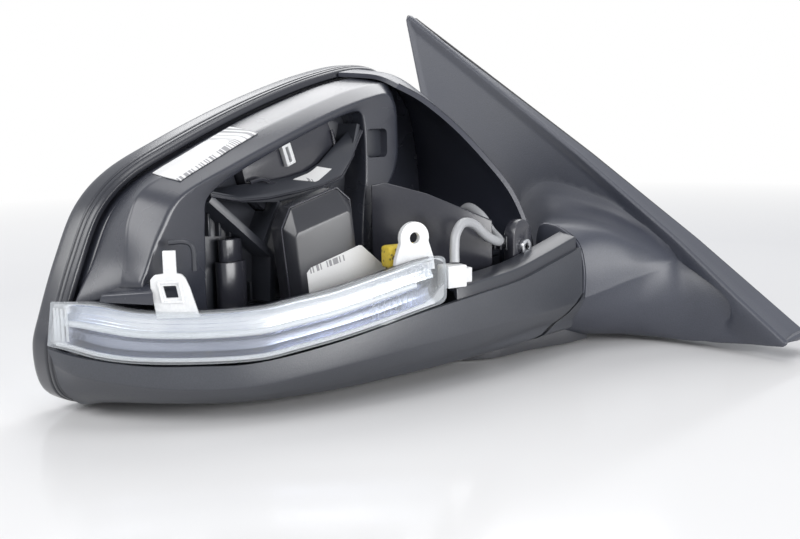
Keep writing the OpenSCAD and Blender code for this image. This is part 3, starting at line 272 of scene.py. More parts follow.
@dataclass
class Shape:
    """Vertices in millimetres and faces of one mesh."""

    points: list = field(default_factory=list)
    faces: list = field(default_factory=list)

    def add(self, points: Iterable, faces: Iterable) -> "Shape":
        """Adds vertices and faces, and returns itself.

        Args:
            points: vertices.
            faces: corners of each face, counted from the first new vertex.
        Returns:
            The shape itself.
        """
        start = len(self.points)
        self.points.extend([tuple(float(x) for x in p) for p in points])
        self.faces.extend([tuple(start + k for k in f) for f in faces])
        return self

    def loft(self, rows: Rows, around: bool, wrap: bool = False, caps: bool = False) -> "Shape":
        """Adds a surface through rows.

        Args:
            rows: array (rows, columns, 3).
            around: whether each row is closed.
            wrap: whether the last row joins the first.
            caps: whether the first and last rows are closed with a face.
        Returns:
            The shape itself.
        """
        m, n = rows.shape[:2]
        faces = []
        for i in range(m if wrap else m - 1):
            for j in range(n if around else n - 1):
                a, b = i * n, ((i + 1) % m) * n
                faces.append((a + j, a + (j + 1) % n, b + (j + 1) % n, b + j))
        if caps:
            faces += [tuple(range(n - 1, -1, -1)), tuple(range((m - 1) * n, m * n))]
        return self.add(rows.reshape(-1, 3), faces)

    def between(self, outer: Rows, inner: Rows) -> "Shape":
        """Adds the closed solid between two grids of the same size.

        Args:
            outer, inner: the grids (rows, columns, 3).
        Returns:
            The shape itself.
        """
        m, n = outer.shape[:2]
        edge = (
            [(0, j) for j in range(n)]
            + [(i, n - 1) for i in range(1, m)]
            + [(m - 1, j) for j in range(n - 2, -1, -1)]
            + [(i, 0) for i in range(m - 2, 0, -1)]
        )
        s = m * n
        faces = []
        for i in range(m - 1):
            for j in range(n - 1):
                q = (i * n + j, i * n + j + 1, (i + 1) * n + j + 1, (i + 1) * n + j)
                faces += [q, tuple(s + k for k in reversed(q))]
        ids = [i * n + j for i, j in edge]
        for k, a in enumerate(ids):
            b = ids[(k + 1) % len(ids)]
            faces.append((b, a, s + a, s + b))
        return self.add(np.concatenate([outer.reshape(-1, 3), inner.reshape(-1, 3)]), faces)

    def tube(self, route: Rows, radius: float | Rows, sides: int = 14) -> "Shape":
        """Adds a round tube along a route, with closed ends.

        Args:
            route: points of the middle line.
            radius: one for all, or one for each point.
            sides: faces around it.
        Returns:
            The shape itself.
        """
        r = np.asarray(route, float)
        t = unit(np.gradient(r, axis=0))
        normal = unit(np.cross(t[0], (0.3, 0.2, 1.0)))
        rows = []
        size = np.broadcast_to(radius, (len(r),))
        for i in range(len(r)):
            normal = unit(normal - np.dot(normal, t[i]) * t[i])
            side = np.cross(t[i], normal)
            a = np.arange(sides) * 2 * math.pi / sides
            rows.append(r[i] + size[i] * (np.cos(a)[:, None] * normal + np.sin(a)[:, None] * side))
        return self.loft(np.stack(rows), around=True, caps=True)

    def rods(self, corners: Sequence, radius: float, sides: int = 8) -> "Shape":
        """Adds a straight round rod between each two corners.

        Args:
            corners: points in order.
            radius: of the rods.
            sides: faces around a rod.
        Returns:
            The shape itself.
        """
        for a, b in zip(np.asarray(corners[:-1]), np.asarray(corners[1:])):
            self.tube(np.stack([a, (a + b) / 2, b]), radius, sides)
        return self

    def block(self, centre: Sequence, size: Sequence) -> "Shape":
        """Adds a box.

        Args:
            centre: its middle.
            size: its lengths along X, Y and Z.
        Returns:
            The shape itself.
        """
        half = (-0.5, 0.5)
        corners = [(x, y, z) for z in half for y in half for x in half]
        points = [tuple(centre[k] + corner[k] * size[k] for k in range(3)) for corner in corners]
        faces = [(0, 2, 3, 1), (4, 5, 7, 6), (0, 1, 5, 4), (2, 6, 7, 3), (0, 4, 6, 2), (1, 3, 7, 5)]
        return self.add(points, faces)

    def prism(self, outline: Sequence, place: Place, low: float, high: float) -> "Shape":
        """Adds a flat shape pulled up.

        Args:
            outline: corners (u, v) in order.
            place: turns u, v and height into a point.
            low, high: the two heights.
        Returns:
            The shape itself.
        """
        n = len(outline)
        points = [place(u, v, low) for u, v in outline] + [place(u, v, high) for u, v in outline]
        faces = [tuple(range(n - 1, -1, -1)), tuple(range(n, 2 * n))]
        faces += [(k, (k + 1) % n, n + (k + 1) % n, n + k) for k in range(n)]
        return self.add(points, faces)


# ---- shader maths and nodes ----
class Book:
    """The node tree of one material or world, and the one way nodes are made in it."""

    def __init__(self, tree: NodeTree) -> None:
        """Starts with an empty tree."""
        self.tree = tree
        tree.nodes.clear()

    def add(self, kind: str, settings: dict | None = None, **inputs: object) -> Node:
        """Makes a node.

        Args:
            kind: the node's type without its ShaderNode prefix.
            settings: properties set before the sockets; stops is a ramp's list of (place, colour).
            inputs: values or links by socket name or identifier, with _ for a blank.
        Returns:
            The node.
        """
        node = self.tree.nodes.new("ShaderNode" + kind)
        for key, value in (settings or {}).items():
            if key == "stops":
                ramp = node.color_ramp
                while len(ramp.elements) < len(value):
                    ramp.elements.new(0.5)
                for element, (place, colour) in zip(ramp.elements, value):
                    element.position, element.color = place, (*colour, 1)
            else:
                setattr(node, key, value)
        for key, value in inputs.items():
            socket = next((s for s in node.inputs if s.identifier == key), None)
            socket = socket or next(s for s in node.inputs if s.name == key.replace("_", " "))
            self.feed(socket, value)
        return node

    def feed(self, socket: NodeSocket, value: object) -> None:
        """Links or sets one socket.

        Args:
            socket: the input.
            value: a wire, an output, a colour or a number.
        """
        if isinstance(value, Wire):
            value = value.socket
        if isinstance(value, NodeSocket):
            self.tree.links.new(value, socket)
        elif isinstance(value, tuple) and socket.type == "RGBA" and len(value) == 3:
            socket.default_value = (*value, 1)
        else:
            socket.default_value = value

    def value(self, kind: str, output: str | int, settings: dict | None = None, **inputs: object) -> "Wire":
        """Makes a node and returns one of its outputs as a value."""
        return Wire(self, self.add(kind, settings, **inputs).outputs[output])

    def noise(self, spot: NodeSocket, scale: float, detail: float, **inputs: object) -> "Wire":
        """Cloudy noise between 0 and 1."""
        return self.value("TexNoise", 0, None, Vector=spot, Scale=scale, Detail=detail, **inputs)

    def pulled(
        self, spot: NodeSocket, scale: Sequence[float], **inputs: object,
    ) -> NodeSocket:
        """Coordinates drawn out, for lines that run one way."""
        return self.add("Mapping", None, Vector=spot, Scale=tuple(scale), **inputs).outputs[0]

    def bump(self, strength: float, distance: float, height: "Wire") -> NodeSocket:
        """Normal bent by a height."""
        return self.add("Bump", None, Strength=strength, Distance=distance, Height=height).outputs[0]

    def blend(self, share: "Wire | float", a: object, b: object) -> NodeSocket:
        """Mixes two colours by a share."""
        node = self.add("Mix", {"data_type": "RGBA"}, Factor_Float=share, A_Color=a, B_Color=b)
        return next(s for s in node.outputs if s.identifier == "Result_Color")

    def layered(
        self, share: "Wire | float", under: Node, over: Node,
    ) -> NodeSocket:
        """Mixes two shaders.

        Args:
            share: how much of the second shows.
            under, over: the two shader nodes.
        Returns:
            The mixed shader.
        """
        mixed = self.add("MixShader", None, Fac=share)
        self.feed(mixed.inputs[1], under.outputs[0])
        self.feed(mixed.inputs[2], over.outputs[0])
        return mixed.outputs[0]


class Wire:
    """A shader value that sums, products and powers can be written with."""

    def __init__(self, book: Book, socket: NodeSocket) -> None:
        """Wraps one output socket."""
        self.book, self.socket = book, socket

    def _math(self, operation: str, *values: "Wire | float", clamp: bool = False) -> "Wire":
        """Adds one Math node.

        Args:
            operation: what the node does.
            values: wires or numbers, in the order of its sockets.
            clamp: whether the result is kept between 0 and 1.
        Returns:
            The result.
        """
        node = self.book.add("Math", {"operation": operation, "use_clamp": clamp})
        for socket, value in zip(node.inputs, values):
            self.book.feed(socket, value)
        return Wire(self.book, node.outputs[0])

    def __add__(self, other: "Wire | float") -> "Wire":
        """Sum."""
        return self._math("ADD", self, other)

    __radd__ = __add__

    def __sub__(self, other: "Wire | float") -> "Wire":
        """Difference."""
        return self._math("SUBTRACT", self, other)

    def __rsub__(self, other: "Wire | float") -> "Wire":
        """Difference from a number."""
        return self._math("SUBTRACT", other, self)

    def __mul__(self, other: "Wire | float") -> "Wire":
        """Product."""
        return self._math("MULTIPLY", self, other)

    __rmul__ = __mul__

    def __truediv__(self, other: "Wire | float") -> "Wire":
        """Quotient."""
        return self._math("DIVIDE", self, other)

    def __rtruediv__(self, other: "Wire | float") -> "Wire":
        """A number divided by the value."""
        return self._math("DIVIDE", other, self)

    def above(self, limit: float) -> "Wire":
        """1 where the value is over a limit."""
        return self._math("GREATER_THAN", self, limit)

    def ramp(self, low: float, high: float) -> "Wire":
        """0 below low, 1 above high, even between."""
        return self._math("DIVIDE", self - low, high - low, clamp=True)

    def bent(self) -> "Wire":
        """Distance from a half, doubled."""
        return self._math("ABSOLUTE", self - 0.5) * 2.0

    def whole(self) -> "Wire":
        """The whole number below the value."""
        return self._math("FLOOR", self)


def principled(book: Book, **inputs: object) -> Node:
    """Adds the main surface shader and the output.

    Args:
        book: the tree.
        inputs: values or links by socket name.
    Returns:
        The shader node.
    """
    shader = book.add("BsdfPrincipled", None, **inputs)
    book.add("OutputMaterial", None, Surface=shader.outputs[0])
    return shader


def new_material(name: str) -> tuple[Material, Book]:
    """Makes an empty node material.

    Args:
        name: name of the material.
    Returns:
        The material and its tree.
    """
    material = bpy.data.materials.new(name)
    material.use_nodes = True
    return material, Book(material.node_tree)


def place_of(
    book: Book, centre: Sequence[float] = (0, 0, 0), turn: Sequence[float] = (0, 0, 0),
) -> NodeSocket:
    """Object coordinates, moved and turned.

    Args:
        book: the tree.
        centre: the point, in metres, that becomes the origin.
        turn: Euler angles in degrees of the pattern's frame.
    Returns:
        The vector socket.
    """
    spot = book.add("TexCoord").outputs["Object"]
    if not any(centre) and not any(turn):
        return spot
    back = Matrix.Rotation(math.radians(turn[2]), 3, "Z") @ Matrix.Rotation(math.radians(turn[1]), 3, "Y")
    back = (back @ Matrix.Rotation(math.radians(turn[0]), 3, "X")).inverted()
    node = book.add("Mapping", {"vector_type": "POINT"}, Vector=spot)
    node.inputs["Rotation"].default_value = back.to_euler("XYZ")
    node.inputs["Location"].default_value = -(back @ Vector(centre))
    return node.outputs[0]


# ---- finishes ----
class Grain(Enum):
    """Texture cut into a mould."""

    SPARKED = "sparked"
    SMOOTH = "smooth"
    FLOW = "flow"


class Finish:
    """Base of the finishes: makes the material that a finish then lays out."""

    name: str

    def paint(self, book: Book) -> None:
        """Lays out the nodes of the material in its tree."""
        raise NotImplementedError

    def material(self) -> Material:
        """Builds the material.

        Returns:
            The material.
        """
        material, book = new_material(self.name)
        self.paint(book)
        return material


@dataclass(frozen=True)
class Moulded(Finish):
    """Moulded plastic with its grain, uneven gloss and faint handling marks."""

    name: str
    colour: Colour
    roughness: float = 0.4
    grain: Grain = Grain.SPARKED
    grain_size: float = 0.0006
    grain_depth: float = 0.35
    gloss_drift: float = 0.08
    tone_drift: float = 0.12
    scuffs: float = 0.25
    level: float = 0.8

    def paint(self, book: Book) -> None:
        """Lays out the nodes.

        Args:
            book: tree of the material.
        """
        spot = place_of(book)
        broad = book.noise(spot, 22.0, 3.0, Roughness=0.55)
        fine = book.noise(spot, 1.0 / self.grain_size, 4.0, Roughness=0.6)
        shift = (broad - 0.5) * self.tone_drift
        speckle = 0.5 if self.grain is Grain.SPARKED else 0.15
        stops = [(0.38, tuple(c * 0.8 for c in self.colour)), (0.62, tuple(c * 1.22 for c in self.colour))]
        tone = book.value("ValToRGB", 0, {"stops": stops}, Fac=0.5 + shift * 2.0 + (fine - 0.5) * speckle)
        lines = book.noise(self.brushed(book, spot), 70.0, 5.0, Roughness=0.62)
        marks = lines.ramp(0.61, 0.72) * broad.ramp(0.42, 0.62) * self.scuffs
        rough = self.roughness + (broad - 0.5) * (2 * self.gloss_drift) + marks * 0.16
        scuffed = tuple(min(1.0, c * 1.9 + 0.012) for c in self.colour)
        colour = book.blend(marks * 0.35, tone.socket, scuffed)
        relief = self.relief(book, spot, fine)
        principled(book, Base_Color=colour, Roughness=rough, Normal=relief, Specular_IOR_Level=self.level)

    def brushed(self, book: Book, spot: NodeSocket) -> NodeSocket:
        """Coordinates pulled out along one way, for fine lines."""
        return book.pulled(spot, (0.22, 3.0, 1.6), Rotation=(0.5, 0.3, 0.7))

    def relief(self, book: Book, spot: NodeSocket, fine: Wire) -> NodeSocket:
        """The height of the grain as a bump.

        Args:
            book: the tree.
            spot: the coordinates.
            fine: the fine noise of the surface.
        Returns:
            The bent normal.
        """
        if self.grain is Grain.SPARKED:
            smooth = {"feature": "SMOOTH_F1"}
            cells = book.value("TexVoronoi", "Distance", smooth, Vector=spot, Scale=1.0 / self.grain_size)
            height = cells * 0.65 + fine * 0.35
        elif self.grain is Grain.FLOW:
            height = fine * 0.25 + book.noise(spot, 160.0, 2.0) * 0.75
        else:
            height = fine * 0.5 + book.noise(spot, 420.0, 3.0) * 0.5
        bump = book.bump(self.grain_depth, 0.00012, height)
        return bump


@dataclass(frozen=True)
class BareMetal(Finish):
    """Turned, drawn or plated metal with fine tool lines and dulled patches."""

    name: str
    colour: Colour
    roughness: float = 0.3
    line_scale: float = 700.0
    stretch: tuple[float, float, float] = (1.0, 1.0, 0.06)
    tarnish: Colour = (0.2, 0.19, 0.18)

    def paint(self, book: Book) -> None:
        """Lays out the nodes.

        Args:
            book: tree of the material.
        """
        spot = place_of(book)
        lines = book.noise(book.pulled(spot, self.stretch), self.line_scale, 4.0)
        patches = book.noise(spot, 120.0, 4.0, Roughness=0.6)
        dull = patches.ramp(0.52, 0.72)
        colour = book.blend(dull * 0.35, self.colour, self.tarnish)
        bump = book.bump(0.25, 0.00006, lines)
        rough = self.roughness + (lines - 0.5) * 0.16 + dull * 0.14
        principled(book, Base_Color=colour, Metallic=1.0, Roughness=rough, Normal=bump)


@dataclass(frozen=True)
class ChromedBowl(Finish):
    """Vapour-plated reflector, mirror bright, with darker bluish patches toward its outboard end that are a
    painted reflection.
    """

    name: str = "chromed_reflector"
    bright: Colour = (0.97, 0.97, 0.98)
    # cool: colour of the painted reflection patches, darker and bluer than the plating
    cool: Colour = (0.62, 0.66, 0.76)
    clear_of_painted_reflection: tuple[float, float] = (-0.232, -0.205)
    stretch: tuple[float, float, float] = (0.05, 0.05, 1.0)

    def paint(self, book: Book) -> None:
        """Lays out the nodes.

        Args:
            book: tree of the material.
        """
        spot = place_of(book)
        parts = book.add("SeparateXYZ", None, Vector=spot)
        along = Wire(book, parts.outputs[0])
        # Painted reflection: this noise lays darker bluish patches on the colour toward the outboard end (X
        # below the limits). The same noise also varies the roughness.
        haze_and_painted_reflection = book.noise(spot, 34.0, 3.0)
        far = 1.0 - along.ramp(*self.clear_of_painted_reflection)
        colour = book.blend(haze_and_painted_reflection.ramp(0.35, 0.7) * far * 0.8, self.bright, self.cool)
        lines = book.noise(book.pulled(spot, self.stretch), 900.0, 2.0)
        bump = book.bump(0.2, 0.0001, lines)
        principled(book, Base_Color=colour, Metallic=0.9, Roughness=0.17 + haze_and_painted_reflection * 0.12, Normal=bump)


@dataclass(frozen=True)
class ClearLens(Finish):
    """Clear moulded lens: see-through, with its own gloss and faint moulding waves."""

    name: str = "clear_lens"
    tint: Colour = (0.965, 0.975, 0.985)

    def paint(self, book: Book) -> None:
        """Lays out the nodes.

        Args:
            book: tree of the material.
        """
        spot = place_of(book)
        waves = book.noise(spot, 55.0, 2.0)
        bump = book.bump(0.12, 0.0005, waves)
        gloss = book.value("LayerWeight", "Fresnel", None, Blend=0.3, Normal=bump)
        clear = book.add("BsdfTransparent", None, Color=self.tint)
        shine = book.add(
            "BsdfPrincipled", None, Base_Color=(0.93, 0.95, 0.97), Roughness=0.05 + waves * 0.05, Normal=bump,
        )
        book.add("OutputMaterial", None, Surface=book.layered(0.06 + gloss * 0.5, clear, shine))


@dataclass(frozen=True)
class PaperLabel(Finish):
    """White paper label with plain bars in one band, in the frame of the label."""

    name: str
    centre: tuple[float, float, float]
    turn: tuple[float, float, float]
    bar_pitch: float = 0.0007
    band: tuple[float, float] = (-0.001, 0.003)
    reach: float = 0.012
    paper: Colour = (0.83, 0.835, 0.84)
    ink: Colour = (0.16, 0.16, 0.18)

    def paint(self, book: Book) -> None:
        """Lays out the nodes.

        Args:
            book: tree of the material.
        """
        spot = place_of(book, self.centre, self.turn)
        parts = book.add("SeparateXYZ", None, Vector=spot)
        u, v = Wire(book, parts.outputs[0]), Wire(book, parts.outputs[2])
        step = (u / self.bar_pitch).whole()
        pick = book.value("TexWhiteNoise", "Value", {"noise_dimensions": "1D"}, W=step)
        inside = v.above(self.band[0]) * (1.0 - v.above(self.band[1]))
        inside = inside * u.above(-self.reach) * (1.0 - u.above(self.reach))
        fibre = book.noise(spot, 1500.0, 4.0)
        paper = book.blend(fibre.ramp(0.3, 0.7) * 0.35, self.paper, tuple(c * 0.92 for c in self.paper))
        colour = book.blend(pick.above(0.52) * inside * 0.75, paper, self.ink)
        bump = book.bump(0.15, 0.00005, fibre)
        principled(book, Base_Color=colour, Roughness=0.42 + fibre * 0.12, Normal=bump)


@dataclass(frozen=True)
class SpeckledTape(Finish):
    """Woven yellow tape with dark specks."""

    name: str = "yellow_tape"
    colour: Colour = (0.8, 0.6, 0.06)
    speck: Colour = (0.06, 0.05, 0.03)

    def paint(self, book: Book) -> None:
        """Lays out the nodes.

        Args:
            book: tree of the material.
        """
        spot = place_of(book)
        weave = book.noise(spot, 900.0, 3.0)
        cells = book.value("TexVoronoi", "Distance", None, Vector=spot, Scale=430.0)
        specks = 1.0 - cells.ramp(0.2, 0.34)
        colour = book.blend(weave.ramp(0.3, 0.7) * 0.5, self.colour, tuple(c * 0.7 for c in self.colour))
        colour = book.blend(specks * 0.85, colour, self.speck)
        bump = book.bump(0.4, 0.0001, weave - specks * 0.3)
        principled(book, Base_Color=colour, Roughness=0.5 + weave * 0.2, Normal=bump)


@dataclass(frozen=True)
class SilveredGlass(Finish):
    """Back-silvered mirror glass with a breath of dust."""

    name: str = "silvered_glass"
    colour: Colour = (0.82, 0.86, 0.9)

    def paint(self, book: Book) -> None:
        """Lays out the nodes.

        Args:
            book: tree of the material.
        """
        dust = book.noise(place_of(book), 70.0, 6.0, Roughness=0.65)
        colour = book.blend(dust.ramp(0.5, 0.8) * 0.15, self.colour, (0.7, 0.71, 0.72))
        principled(book, Base_Color=colour, Metallic=1.0, Roughness=0.02 + dust.ramp(0.5, 0.8) * 0.08)


@dataclass(frozen=True)
class CircuitBoard(Finish):
    """Green solder mask with brighter tracks."""

    name: str = "circuit_board"
    mask: Colour = (0.03, 0.16, 0.08)
    track: Colour = (0.1, 0.3, 0.14)

    def paint(self, book: Book) -> None:
        """Lays out the nodes.

        Args:
            book: tree of the material.
        """
        spot = place_of(book)
        cells = book.value("TexVoronoi", "Distance", {"distance": "CHEBYCHEV"}, Vector=spot, Scale=260.0)
        tracks = cells.bent().above(0.72)
        colour = book.blend(tracks, self.mask, self.track)
        principled(book, Base_Color=colour, Roughness=0.3 + tracks * 0.15)


class Finishes:
    """All finishes of the mirror, each built once."""

    def __init__(self) -> None:
        """Builds the materials."""
        made = {
            "sail": Moulded("grained_charcoal", (0.046, 0.051, 0.070), 0.44, Grain.SPARKED, 0.00055, 0.5),
            "housing": Moulded("grained_housing", (0.043, 0.047, 0.058), 0.4, Grain.SPARKED, 0.00055, 0.38),
            "carrier": Moulded(
                "satin_charcoal", (0.033, 0.036, 0.049), 0.27, Grain.SMOOTH, 0.0008, 0.16, tone_drift=0.06,
            ),
            "inboard": Moulded("satin_inboard", (0.038, 0.042, 0.061), 0.34, Grain.SMOOTH, 0.0008, 0.18),
            "rim": Moulded(
                "satin_rim", (0.024, 0.026, 0.035), 0.26, Grain.SMOOTH, 0.0009, 0.12, tone_drift=0.05,
            ),
            "inner": Moulded("moulded_black", (0.033, 0.036, 0.046), 0.33, Grain.FLOW, 0.0012, 0.5),
            "inner_gloss": Moulded("gloss_black", (0.032, 0.033, 0.043), 0.22, Grain.FLOW, 0.0014, 0.3),
            "module": Moulded("module_black", (0.023, 0.024, 0.030), 0.3, Grain.SMOOTH, 0.0007, 0.25),
            "foot": Moulded("cast_foot_black", (0.048, 0.050, 0.058), 0.46, Grain.FLOW, 0.0011, 0.5),
            "white": Moulded(
                "white_plastic", (0.82, 0.83, 0.84), 0.32, Grain.FLOW, 0.001, 0.25, tone_drift=0.04,
                scuffs=0.1,
            ),
            "nylon": Moulded(
                "natural_nylon", (0.7, 0.67, 0.58), 0.38, Grain.SMOOTH, 0.0009, 0.25, tone_drift=0.05,
            ),
            "grey_lead": Moulded("grey_lead", (0.42, 0.43, 0.45), 0.36, Grain.SMOOTH, 0.0008, 0.3),
            "rubber": Moulded("black_rubber", (0.014, 0.014, 0.015), 0.72, Grain.SPARKED, 0.0007, 0.5),
            "copper_pad": Moulded("heater_film", (0.5, 0.26, 0.09), 0.4, Grain.FLOW, 0.0011, 0.3),
            "led": Moulded("led_resin", (0.85, 0.8, 0.55), 0.25, Grain.SMOOTH, 0.0009, 0.2),
            "steel": BareMetal("bright_steel", (0.72, 0.73, 0.75), 0.26),
            "dark_steel": BareMetal("oiled_steel", (0.28, 0.29, 0.31), 0.34),
            "brass": BareMetal("worm_brass", (0.78, 0.56, 0.24), 0.28), "chrome": ChromedBowl(),
            # Deep bowl: plating colour darkened and blued, a painted dark reflection over the lamp's lower
            # half
            "chrome_painted_dark_reflection": ChromedBowl("reflector_painted_dark_reflection", (0.4, 0.42, 0.5), (0.2, 0.22, 0.29)),
            "lens": ClearLens(), "tape": SpeckledTape(), "glass": SilveredGlass(), "board": CircuitBoard(),
            "module_label": PaperLabel(
                "module_label_paper", (-0.1872, -0.0220, 0.0013), (0, -13, -14), 0.0006, (0.003, 0.0055),
                0.009,
            ),
            "carrier_label": PaperLabel(
                "carrier_label_paper", (-0.217, 0.012, 0.0505), (0, -23, 0), 0.0006, (-0.0042, -0.0002),
                0.024,
            ),
            "frame_label": PaperLabel(
                "frame_label_paper", (-0.1682, 0.0042, 0.0369), (35, 0, 0), 0.0006, (-0.001, 0.0008), 0.006,
            ),
        }
        self.made = {key: finish.material() for key, finish in made.items()}

    def __getitem__(self, key: str) -> Material:
        """The material of one finish."""
        return self.made[key]


# ---- making pieces ----
class Workshop:
    """Turns shapes into pieces that ride on the bodies."""

    def __init__(self, finishes: Finishes) -> None:
        """Keeps the finishes."""
        self.finishes = finishes

    @staticmethod
    def filled(shape: Shape, scale: float, weld: float) -> bmesh.types.BMesh:
        """Fills a new bmesh with a shape.

        Args:
            shape: points and faces; a face given twice is left out.
            scale: length of one of its units.
            weld: distance within which points are one.
        Returns:
            The bmesh, merged, with faces that agree on their side.
        """
        bm = bmesh.new()
        points = [bm.verts.new(Vector(p) * scale) for p in shape.points]
        for f in shape.faces:
            try:
                bm.faces.new([points[k] for k in f])
            except ValueError:
                continue
        bmesh.ops.remove_doubles(bm, verts=bm.verts, dist=weld)
        bmesh.ops.recalc_face_normals(bm, faces=bm.faces)
        return bm

    def raw(self, name: str, shape: Shape) -> Object:
        """Makes a closed mesh object with outward faces, in metres.

        Args:
            name: name of the object.
            shape: points and faces in millimetres.
        Returns:
            The object.
        """
        bm = self.filled(shape, MM, WELD)
        if bm.calc_volume(signed=True) < 0:
            bmesh.ops.reverse_faces(bm, faces=bm.faces)
        mesh = bpy.data.meshes.new(name)
        bm.to_mesh(mesh)
        bm.free()
        return in_scene(name, mesh)

    def thickened(self, name: str, skin: Shape, depth: float, outward: Vector) -> Object:
        """Makes a closed shell from an open skin.

        Args:
            name: name of the object.
            skin: the outer skin.
            depth: wall, thinner where the skin is tightly rounded.
            outward: way the skin looks on the whole.
        Returns:
            The object.
        """
        bm = self.filled(skin, 1.0, SKIN_WELD_MM)
        if sum(f.calc_area() * f.normal.dot(outward) for f in bm.faces) < 0:
            bmesh.ops.reverse_faces(bm, faces=bm.faces)
        bm.normal_update()
        bm.verts.index_update()
        shell = Shape()
        n = len(bm.verts)
        faces = [tuple(v.index for v in f.verts) for f in bm.faces]
        inner = []
        for v in bm.verts:
            folds = [e for e in v.link_edges if len(e.link_faces) == 2]
            tight = max((e.calc_face_angle(0.0) / max(e.calc_length(), 1e-3) for e in folds), default=0.0)
            inner.append(v.co - v.normal * depth * max(0.35, 1 - 1.2 * tight))
        sides = [(e.verts[0].index, e.verts[1].index) for e in bm.edges if e.is_boundary]
        shell.add(
            [v.co for v in bm.verts] + inner, faces + [tuple(n + k for k in reversed(f)) for f in faces],
        )
        shell.faces += [(a, b, n + b, n + a) for a, b in sides]
        bm.free()
        return self.raw(name, shell)

    def cut(
        self, piece: Object, tools: Sequence[Object], operation: str = "DIFFERENCE",
    ) -> None:
        """Cuts a piece with tool solids and removes them.

        Args:
            piece: the object that is cut.
            tools: the solids, which are removed afterwards.
            operation: the kind of boolean.
        """
        whole = piece.data
        for solver in ("MANIFOLD", "EXACT"):
            piece.data = whole
            for tool in tools:
                mod = piece.modifiers.new("cut", "BOOLEAN")
                mod.operation, mod.solver, mod.object = operation, solver, tool
            self.settle(piece)
            if len(piece.data.polygons) > 3:
                break
        for tool in tools:
            bpy.data.objects.remove(tool)

    def settle(self, piece: Object) -> None:
        """Bakes the modifiers of a piece into its mesh.

        Args:
            piece: the object, left without modifiers.
        """
        bpy.context.view_layer.update()
        graph = bpy.context.evaluated_depsgraph_get()
        mesh = bpy.data.meshes.new_from_object(piece.evaluated_get(graph), depsgraph=graph)
        piece.modifiers.clear()
        piece.data = mesh
        mesh.name = piece.name

    def soften(self, piece: Object, width: float, parts: int = 2, angle: float = 32) -> None:
        """Rounds the sharp edges of a piece by width millimetres.

        Args:
            piece: the object.
            width: of the rounding, in millimetres.
            parts: segments of the rounding.
            angle: edges flatter than this, in degrees, stay as they are.
        """
        mod = piece.modifiers.new("edge", "BEVEL")
        mod.width, mod.segments, mod.limit_method = width * MM, parts, "ANGLE"
        mod.angle_limit = math.radians(angle)
        mod.harden_normals = False
        self.settle(piece)

    def dress(
        self, piece: Object, finish: str, body: str, replaces: Sequence[str] = (),
        angle: float = 35,
    ) -> Object:
        """Gives a piece its finish, shading and body.

        Args:
            piece: the finished object at the origin.
            finish: key of the finish.
            body: the CAD body it rides on.
            replaces: CAD nodes it stands for.
            angle: edges sharper than this stay crisp.
        Returns:
            The piece.
        """
        mesh = piece.data
        mesh.materials.clear()
        mesh.materials.append(self.finishes[finish])
        mesh.shade_smooth()
        mesh.set_sharp_from_angle(angle=math.radians(angle))
        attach(piece, body)
        if replaces:
            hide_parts(*replaces)
        LOG.info("%s: %d faces, %s, on %s", piece.name, len(mesh.polygons), finish, body)
        return piece

    def piece(
        self, name: str, shape: Shape, finish: str, body: str, replaces: Sequence[str] = (),
        edge: float = 0.0, angle: float = 35,
    ) -> Object:
        """Makes and dresses a piece in one go.

        Args:
            name: name of the piece.
            shape: points and faces in millimetres.
            finish: key of the finish.
            body: the CAD body it rides on.
            replaces: CAD nodes it stands for.
            edge: rounding of its edges, in millimetres.
            angle: edges sharper than this stay crisp.
        Returns:
            The piece.
        """
        made = self.raw(name, shape)
        if edge > 0:
            self.soften(made, edge)
        return self.dress(made, finish, body, replaces, angle)

    def from_node(self, node: str, finish: str, edge: float) -> None:
        """A CAD node with rounded edges, or the node itself with a finish when edge is 0.

        Args:
            node: name of the CAD node.
            finish: key of the finish.
            edge: rounding in millimetres.
        """
        cad = frame["nodes"][node]
        if edge <= 0:
            cad.data.materials.clear()
            cad.data.materials.append(self.finishes[finish])
            for f in cad.data.polygons:
                f.material_index = 0
            LOG.info("%s: carried over, %s", node, finish)
            return
        bm = bmesh.new()
        bm.from_mesh(cad.data)
        bmesh.ops.remove_doubles(bm, verts=bm.verts, dist=CAD_WELD)
        bmesh.ops.dissolve_limit(bm, angle_limit=NEARLY_FLAT, verts=bm.verts, edges=bm.edges)
        mesh = bpy.data.meshes.new(node + "_fine")
        bm.to_mesh(mesh)
        bm.free()
        made = in_scene(node + "_fine", mesh)
        self.soften(made, edge)
        self.dress(made, finish, BODY_OF[node], (node,))


